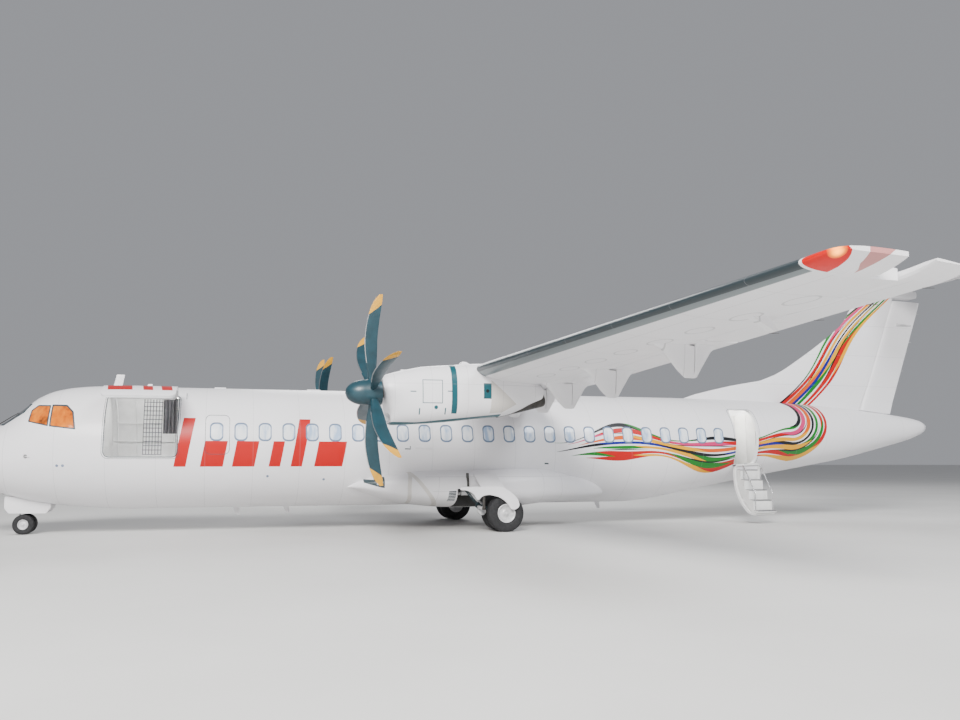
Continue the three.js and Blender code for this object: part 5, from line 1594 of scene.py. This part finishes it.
def cargoDoor():
    low = cargo["low"]
    skin = shellLayer(cargo, 0, -0.016)
    inside = shellLayer(cargo, -0.0162, -0.06, 0.012, pocketGrid(cargo, 4, 3))
    hardware = barrelParts(cargo, cargoHinge, [(0.12, 0.24), (0.76, 0.88)], 0.014)
    for x in (3.72, 4.1, 4.55, 4.93):
        y = skinY(x, low + 0.05) + 0.058
        hardware.append(slab(x - 0.02, x + 0.02, y - 0.012, y + 0.01, low + 0.022, low + 0.1, 0.003))
    y = skinY(4.32, 2.42) + 0.05
    handle = [(4.24, y, 2.4), (4.24, y + 0.012, 2.42), (4.4, y + 0.012, 2.42), (4.4, y, 2.4)]
    hardware.append(tube(handle, 0.008, 10))
    for mesh, name, finish, nodes, slot in (
            (joinMeshes([skin]), "cargoDoorSkin", doorPaint, ("cargo_door",), "white_metal"),
            (joinMeshes([inside]), "cargoDoorFrame", linerFinish, (), "white_metal"),
            (meshOf(*hardware), "cargoDoorLatches", bareMetal, (), "gear_paint")):
        pieceOf(name, turnedMesh(mesh, cargoHinge, -cargo["open"]), finish, "cargo_door", nodes, slot, 40)


# the rear door, which is the stair: its skin, its inside and the webs that carry it on its hinge
def passengerDoor():
    y, z = entryHinge
    width, low = entry["to"] - entry["from"], entry["low"]
    skin = shellLayer(entry, 0, -0.018)
    inside = shellLayer(entry, -0.0182, -0.06, 0.012, pocketGrid(entry, 1, 3, 0.06))
    hinges = []
    for a, b in ((0.19, 0.255), (0.345, 0.655), (0.745, 0.81)):
        start, end = entry["from"] + a * width, entry["from"] + b * width
        edge = skinY(end, low + 0.008) + 0.045
        web = [(y - 0.008, z), (y, z - 0.008), (y + 0.004, z - 0.002), (y + 0.001, z + 0.011),
               (edge, low + 0.008), (edge, low + 0.024), (y - 0.012, z + 0.02)]
        hinges.append(crossPrism(web, start, end))
    hinges += barrelParts(entry, entryHinge, [(0.1, 0.9)], 0.012)
    for mesh, name, finish, nodes, slot in (
            (skin, "entryDoorSkin", panelPaint, ("passenger_door",), "white_metal"),
            (inside, "entryDoorInside", doorLiner, (), "white_metal"),
            (meshOf(*hinges), "entryHinges", bareMetal, (), "gear_paint")):
        pieceOf(name, turnedMesh(mesh, entryHinge, entry["open"]), finish, "passenger_door", nodes, slot, 40)


# the steps on the lowered door, with their treads, their edges and the two rails
def buildStair():
    y, z = entryHinge
    x0, x1 = entry["from"] + stair["side"], entry["to"] - stair["side"]
    rise, run, reach = stair["rise"], stair["run"], stair["reach"]
    noses = []
    for i in range(1, stair["steps"] + 1):
        top = z - i * rise + stair["lift"]
        noses += [(y - (i - 1) * run, top), (y - i * run, top)]
    under = [(noses[-1][0], noses[-1][1] - 0.5), (y, noses[-1][1] - 0.5)]
    inner = meshOf(body(entry["from"] - 0.2, entry["to"] + 0.2, -0.04, 128, 0.1))
    swing = meshOf(spun((x0 - 0.1, y, z), (1, 0, 0), [(0, reach), (x1 - x0 + 0.2, reach)], 128))
    steps = cutMesh(meshOf(crossPrism([*noses, *under], x0, x1)),
                    [turnedMesh(inner, entryHinge, entry["open"]), swing], "INTERSECT")
    pieceOf("stairBlock", steps, doorLiner, "passenger_door", (), "white_metal", 30)
    treads, edges = [], []
    for i in range(stair["steps"]):
        y0, z0 = y - i * run, z - (i + 1) * rise + stair["lift"]
        treads.append(slab(x0 + 0.012, x1 - 0.012, y0 - run + 0.02, y0 - 0.004, z0 - 0.004, z0 + 0.006, 0.002))
        treads += [boxPart(x0 + 0.02, x1 - 0.02, a, a + 0.006, z0 + 0.005, z0 + 0.009)
                   for a in (y0 - run + 0.03 + 0.018 * k for k in range(7))]
        edges.append(slab(x0 + 0.004, x1 - 0.004, y0 - run - 0.004, y0 - run + 0.022, z0 - 0.024, z0 + 0.008))
    meshPiece("stairTreads", treads, stairGrip, "passenger_door", slot="gear_paint")
    meshPiece("stairNoses", edges, bareMetal, "passenger_door", slot="gear_paint")
    rails = []
    for x in (x0 + 0.02, x1 - 0.02):
        # a point over the slope of the steps, counted in steps from the sill
        def at(step, lift, x=x):
            return x, y - run * step, z - rise * step + lift

        top = stair["rail"]
        hand = [at(1.62, top - 0.075), at(1.7, top - 0.01), at(1.9, top), at(3.1, top), at(4.3, top),
                at(4.45, top - 0.01)]
        rails += [tube([at(1.75, -0.16), at(1.75, top - 0.03), at(1.8, top - 0.01)], 0.013, 14),
                  tube([at(4.4, -0.13), at(4.4, top - 0.02)], 0.013, 14), tube(curved(hand, 4), 0.015, 14)]
        rails += [spun(at(step, -0.1), (0, 0, 1), [(0, 0.024), (0.012, 0.024), (0.03, 0.015)], 16)
                  for step in (1.75, 4.4)]
    meshPiece("stairRails", rails, railMetal, "passenger_door", slot="gear_paint", angle=50)


# the frame that goes round a doorway, behind the skin
def jamb(door, depth, width):
    wide = dict(door, **{"from": door["from"] - width, "to": door["to"] + width, "low": door["low"] - width,
                         "high": door["high"] + width})
    return shellLayer(wide, -0.0602, -depth, 0, [doorOutline(door, 0.002, 0.112, 10)])


# what the hold and the lobby hold: stations, heights and places across, and pitches
fittings = {
    "ribs": (3.52, 3.98, 4.44, 4.9, 5.33), "strips": (1.75, 2.15, 2.6), "rails": (-0.75, -0.3, 0.15, 0.6, 1.0),
    "net": {"x": 5.26, "pitch": 0.12, "drop": 0.13}, "doorNet": {"from": 4.31, "to": 4.73, "pitch": 0.1},
    "curtain": {"from": 4.74, "to": 5.06, "y": -0.72, "low": 2.28, "high": 3.1},
    "holdLamps": (-0.4, 0.0, 0.45), "lobbyLamps": (-0.45, -0.1, 0.25),
}


# ribs and strips on the hold's far side, and the roller rails on its floor
def buildHoldFrames():
    low, high = hold["low"], hold["high"]
    ribs, rails = [], []
    for x in fittings["ribs"]:
        lining = [p for p in ovalRing(sample(bodyRows, x), -0.068) if low < p[2] < high and p[1] > 0]
        ribs.append(tube(sorted(lining, key=lambda p: p[2]), 0.022, 8))
    for z in fittings["strips"]:
        y = -skinY(4.4, z, -0.075)
        ribs.append(tube([(3.42, y - 0.02, z), (5.4, y, z)], 0.012, 8))
    for y in fittings["rails"]:
        rails.append(slab(3.42, 5.4, y - 0.03, y + 0.03, low + 0.0005, low + 0.022))
        rails += [spun((3.5 + k * 0.13, y - 0.024, low + 0.024), (0, 1, 0), [(0, 0.012), (0.048, 0.012)], 10)
                  for k in range(15)]
    rails += [slab(a, b, -0.6, 0.6, high - 0.022, high - 0.0005) for a, b in ((3.42, 3.47), (5.33, 5.38))]
    meshPiece("holdRibs", ribs, linerFinish, slot="white_metal", angle=50)
    meshPiece("holdRails", rails, floorMetal, slot="gear_paint")


# how far the net by the doorway hangs in from the skin at a height
def netY(z):
    return mix(-0.86, -0.84, (z - 1.8) / 0.6) if z < 2.4 else mix(-0.84, -0.68, (z - 2.4) / 0.73)


# the net across the hold's rear end and the one that hangs by the doorway
def buildNets():
    low, high = hold["low"], hold["high"]
    net, doorNet = fittings["net"], fittings["doorNet"]
    cords = []
    for k in range(-9, 10):
        y = k * net["pitch"]
        cords.append(tube([(net["x"], y, low + 0.01), (net["x"] - 0.02, y * 0.92, 2.3),
                           (net["x"], y * 0.85, high - 0.01)], 0.006, 6))
    for k in range(13):
        z = low + 0.08 + k * net["drop"]
        reach = -skinY(net["x"], z, -0.09)
        cords.append(tube([(net["x"] + 0.002, -reach, z), (net["x"] - 0.02, 0, z - 0.03),
                           (net["x"] + 0.002, reach, z)], 0.006, 6))
    for x in (doorNet["from"] + 0.01 + k * 0.066 for k in range(7)):
        cords.append(tube([(x, netY(z), z) for z in (1.8, 2.1, 2.4, 2.75, 3.13)], 0.009, 6))
    for z in (1.8 + k * doorNet["pitch"] for k in range(14)):
        cords.append(tube([(doorNet["from"], netY(z), z), (doorNet["to"], netY(z), z)], 0.009, 6))
    meshPiece("holdNet", cords, netCord, slot="tyre", angle=60)


def buildHold():
    pieceOf("doorFrames", joinMeshes([jamb(cargo, 0.11, 0.05), jamb(entry, 0.1, 0.04)]), linerFinish,
            slot="white_metal", angle=40)
    curtain = fittings["curtain"]
    low, high = curtain["low"], curtain["high"]
    folds = []
    for i in range(33):
        x, y = mix(curtain["from"], curtain["to"], i / 32), curtain["y"] + 0.045 * sin(i * 0.8)
        folds.append([(x, y, low), (x, y + 0.006, low), (x, y + 0.006, high), (x, y, high)])
    meshPiece("holdCurtain", [loft(folds)], curtainCloth, slot="tyre", angle=60)
    buildHoldFrames()
    buildNets()
    lamps = []
    for room, places, start, end, half in ((hold, fittings["holdLamps"], 3.7, 5.0, 0.06),
                                           (lobby, fittings["lobbyLamps"], 19.42, 20.34, 0.09)):
        top = room["high"]
        lamps += [slab(start, end, y - half, y + half, top - 0.03, top - 0.001, 0.01) for y in places]
    meshPiece("ceilingLamps", lamps, lampWhite, slot="glass")


def buildLobby():
    low = lobby["low"]
    panels = [slab(x - 0.012, x + 0.012, y0, y1, low + 0.06, 2.95, 0.006) for x in (19.315, 20.445)
              for y0, y1 in ((-0.95, -0.42), (-0.4, 0.1), (0.12, 0.62))]
    panels += [slab(x0, x1, 0.78, 0.8, low + 0.02, 2.9, 0.006)
               for x0, x1 in ((19.34, 19.69), (19.71, 20.06), (20.08, 20.43))]
    meshPiece("lobbyPanels", panels, doorLiner, slot="white_composite")
    mats = [slab(19.34, 20.42, -0.95, 0.74, low + 0.0005, low + 0.014),
            slab(entry["from"] + 0.02, entry["to"] - 0.02, -1.1, -0.985, low + 0.0005, low + 0.03)]
    meshPiece("lobbyMat", mats, stairGrip, slot="tyre")
    grips = []
    for x, out in ((19.33, 0.05), (20.43, -0.05)):
        grip = [(x, -0.9, 2.05), (x + out, -0.9, 2.08), (x + out, -0.9, 2.5), (x, -0.9, 2.53)]
        grips.append(tube(curved(grip, 4), 0.012, 12))
    meshPiece("lobbyGrips", grips, railMetal, slot="gear_paint")


cargoDoor()
passengerDoor()
buildStair()
buildHold()
buildLobby()
print("doors and rooms made")

# Antennas, probes and other small things on the body


# a thin blade that stands on the body: rows of height, front, rear and thickness
def bladeMast(rows):
    rings = []
    for z, front, rear, thick in rows:
        side = [(mix(front, rear, f), thick / 2 * w)
                for f, w in ((0, 0.12), (0.04, 0.5), (0.15, 0.85), (0.35, 1), (0.7, 0.7), (1, 0.1))]
        rings.append(levelRing(side, z))
    return loft(rings)


# a place on a side of the body, and the way out from it there
def sideSpot(x, z, side):
    point, normal = onSkin((x, -3, z), (0, 1, 0))
    return Vector((point.x, -side * point.y, point.z)), Vector((normal.x, -side * normal.y, normal.z))


mastRows = [(3.385, 3.531, 3.73, 0.034), (3.5, 3.562, 3.752, 0.031), (3.66, 3.598, 3.78, 0.028),
            (3.69, 3.604, 3.786, 0.022), (3.7, 3.612, 3.78, 0.01)]
tabRows = [(3.39, 4.272, 4.42, 0.028), (3.44, 4.298, 4.42, 0.027), (3.48, 4.32, 4.42, 0.024),
           (3.49, 4.328, 4.415, 0.012)]


def buildSmallThings():
    mast = [bladeMast(mastRows), softBox(3.5, 3.76, -0.045, 0.045, 3.385, 3.412)]
    meshPiece("crownMast", mast, panelPaint, replaces=("crown_antenna",), slot="white_metal")
    tab = [bladeMast(tabRows), softBox(4.25, 4.45, -0.04, 0.04, 3.396, 3.418, 0.008)]
    meshPiece("crownTab", tab, panelPaint, replaces=("crown_antenna_small",), slot="white_metal")
    humps = [softBox(5.86, 6.14, -0.1, 0.1, 3.39, 3.436, 0.02),
             softBox(8.1, 8.45, -0.09, 0.09, 3.39, 3.432, 0.018)]
    meshPiece("crownHumps", humps, panelPaint, slot="white_metal")
    keel = []
    for x, tall in ((6.35, 0.2), (7.55, 0.16), (15.9, 0.18)):
        low = sample(bodyRows, x)[2] + 0.01
        keel.append(bladeMast([(low, x, x + 0.16, 0.02), (low - tall * 0.9, x + 0.07, x + 0.17, 0.016),
                               (low - tall, x + 0.09, x + 0.165, 0.006)]))
    meshPiece("keelBlades", keel, panelPaint, slot="white_metal")
    probes, vents = [], []
    for side in (-1, 1):
        for x, z in ((1.28, 1.86), (1.34, 1.62)):
            root, out = sideSpot(x, z, side)
            bend = root + out * 0.085
            path = [root - out * 0.01, root + out * 0.06, bend + Vector((-0.02, 0, 0)),
                    bend + Vector((-0.17, 0, 0))]
            probes.append(tube(path, [0.016, 0.012, 0.011, 0.008], 12))
        root, out = sideSpot(1.95, 1.75, side)
        probes += [spun(root - out * 0.004, out, [(0, 0.045), (0.01, 0.043), (0.014, 0.02), (0.03, 0.012)], 24),
                   tube([root + out * 0.025, root + out * 0.035 + Vector((0.09, 0, -0.01))], [0.01, 0.006], 8)]
        for x, z in ((2.6, 1.55), (2.72, 1.55), (7.1, 1.3), (8.4, 1.22)):
            root, out = sideSpot(x, z, side)
            vent = [(0, 0.03), (0.006, 0.029), (0.006, 0.018), (0.002, 0.0)]
            vents.append(spun(root - out * 0.003, out, vent, 20))
    meshPiece("probes", probes, bareMetal, slot="gear_paint", angle=45)
    meshPiece("vents", vents, windowRim, slot="gear_paint")
    lens = [(0, 0.08), (0.02, 0.08), (0.03, 0.062), (0.09, 0.055), (0.12, 0.035), (0.13, 0)]
    meshPiece("bellyBeacon", [spun((12.9, 0, 0.5), (0, 0, -1), lens, 32)], beaconLens, slot="lamp_red")


# a discharge wick on a trailing edge, with its start ahead of it, its middle and its end aft of it
def wick(rear, y, z, middle, end, start=0.01, rise=0):
    path = [(rear - start, y, z), (rear + middle, y, z), (rear + end, y, z + rise)]
    return tube(path, [0.006, 0.005, 0.003], 8)


# discharge wicks, a tail light and the rudder tab's cover
def buildEdges():
    aileron, elevator = [], []
    for y in (-10.3, -11.2, -12.1, -12.9):
        section = wingAt(y)
        aileron.append(wick(section["le"] + section["chord"], y, section["zTe"], 0.05, 0.15, rise=0.004))
    for y in (-1.3, -2.3, -3.3):
        section = tailSection(y)
        elevator.append(wick(section["le"] + section["chord"], y, tailZ, 0.04, 0.13))
    rudder = [wick(25.915 + (z - 3.42) * 0.3905, 0, z, 0.03, 0.1, 0.012) for z in (4.4, 5.3, 6.2)]
    cover = [(26.16, 5.86), (26.5, 5.835), (26.56, 5.81), (26.16, 5.785)]
    for side in (-1, 1):
        rudder.append(edged(prism(cover, *sorted((side * 0.03, side * 0.092))), 0.006))
        rudder.append(tube([(26.5, side * 0.075, 5.82), (26.74, side * 0.04, 5.82)], 0.008, 8))
    pairOf("aileronWicks", meshOf(*aileron), darkMetal, "aileron_{}", slot="gear_paint")
    pairOf("elevatorWicks", meshOf(*elevator), darkMetal, "elevator_{}", slot="gear_paint")
    meshPiece("rudderFittings", rudder, gearPaint, "rudder", slot="gear_paint")
    lens = [(0, 0.062), (0.025, 0.058), (0.05, 0.036), (0.06, 0.0)]
    meshPiece("tailLight", [spun((26.955, 0, 2.665), (1, 0, 0), lens, 28)], lampGlass, slot="glass")


buildSmallThings()
buildEdges()
print("small things made")

# Wing tip lamps

lampMesh = cutMesh(meshOf(tipPiece(0, 0.5)), [lampBlock(lampEnd - 0.0003, 0.0003)], "INTERSECT")
pieceOf("tipLamp_left", lampMesh, redLens, replaces=("nav_lamp_left",), slot="lamp_red")
pieceOf("tipLamp_right", flippedMesh(lampMesh), greenLens, replaces=("nav_lamp_right",), slot="lamp_green")

# Camera, light and floor

shot = {
    "place": (6.067, -19.845, 1.604), "aft": 13.982, "up": 5.415, "roll": -0.068, "pixels": 789.333,
    "centre": (418.868, 387.903), "width": 960, "height": 720,
}
# each light's place, target, size, power and colour
lights = {
    "key": ((-18, -34, 22), (0, 0, 2), 16, 30000, (1, 0.985, 0.96)),
    "fill": ((14, -30, 28), (4, 0, 2), 14, 9000, (0.93, 0.96, 1)),
    "back": ((6, 34, 24), (0, 0, 2), 24, 9000, (1, 1, 1)),
}


def buildCamera():
    data = bpy.data.cameras.new("camera")
    data.sensor_width = 36
    data.lens = shot["pixels"] / shot["width"] * 36
    data.shift_x = (shot["width"] / 2 - shot["centre"][0]) / shot["width"]
    data.shift_y = (shot["centre"][1] - shot["height"] / 2) / shot["width"]
    data.clip_end = 500
    camera = linked("camera", data)
    aft, up = radians(shot["aft"]), radians(shot["up"])
    look = Vector((sin(aft) * cos(up), cos(aft) * cos(up), sin(up)))
    turn = look.to_track_quat("-Z", "Y").to_matrix() @ Matrix.Rotation(radians(shot["roll"]), 3, "Z")
    camera.matrix_world = Matrix.Translation(st(*shot["place"])) @ turn.to_4x4()
    bpy.context.scene.camera = camera


def buildStage():
    world = bpy.data.worlds.new("studio")
    world.use_nodes = True
    background = world.node_tree.nodes["Background"]
    background.inputs["Color"].default_value = (0.42, 0.43, 0.46, 1)
    background.inputs["Strength"].default_value = 0.8
    bpy.context.scene.world = world
    for name, (place, target, size, power, colour) in lights.items():
        data = bpy.data.lights.new(name, "AREA")
        data.shape, data.size, data.energy, data.color = "DISK", size, power, colour
        light = linked(name, data)
        light.location = place
        light.rotation_euler = (Vector(target) - Vector(place)).to_track_quat("-Z", "Y").to_euler()
    mesh = bpy.data.meshes.new("floor")
    reach = 400
    corners = [(-reach, -reach, 0), (reach, -reach, 0), (reach, reach, 0), (-reach, reach, 0)]
    mesh.from_pydata(corners, [], [(0, 1, 2, 3)])
    finish = Finish("floorFinish", Roughness=0.75)
    dark, pale = (0.3, (0.6, 0.595, 0.58)), (0.8, (0.68, 0.675, 0.66))
    finish.set(Base_Color=finish.ramp(finish.noise(0.25, 5), dark, pale))
    mesh.materials.append(finish.material)
    linked("floor", mesh)


buildCamera()
buildStage()
print("camera, light and floor made")
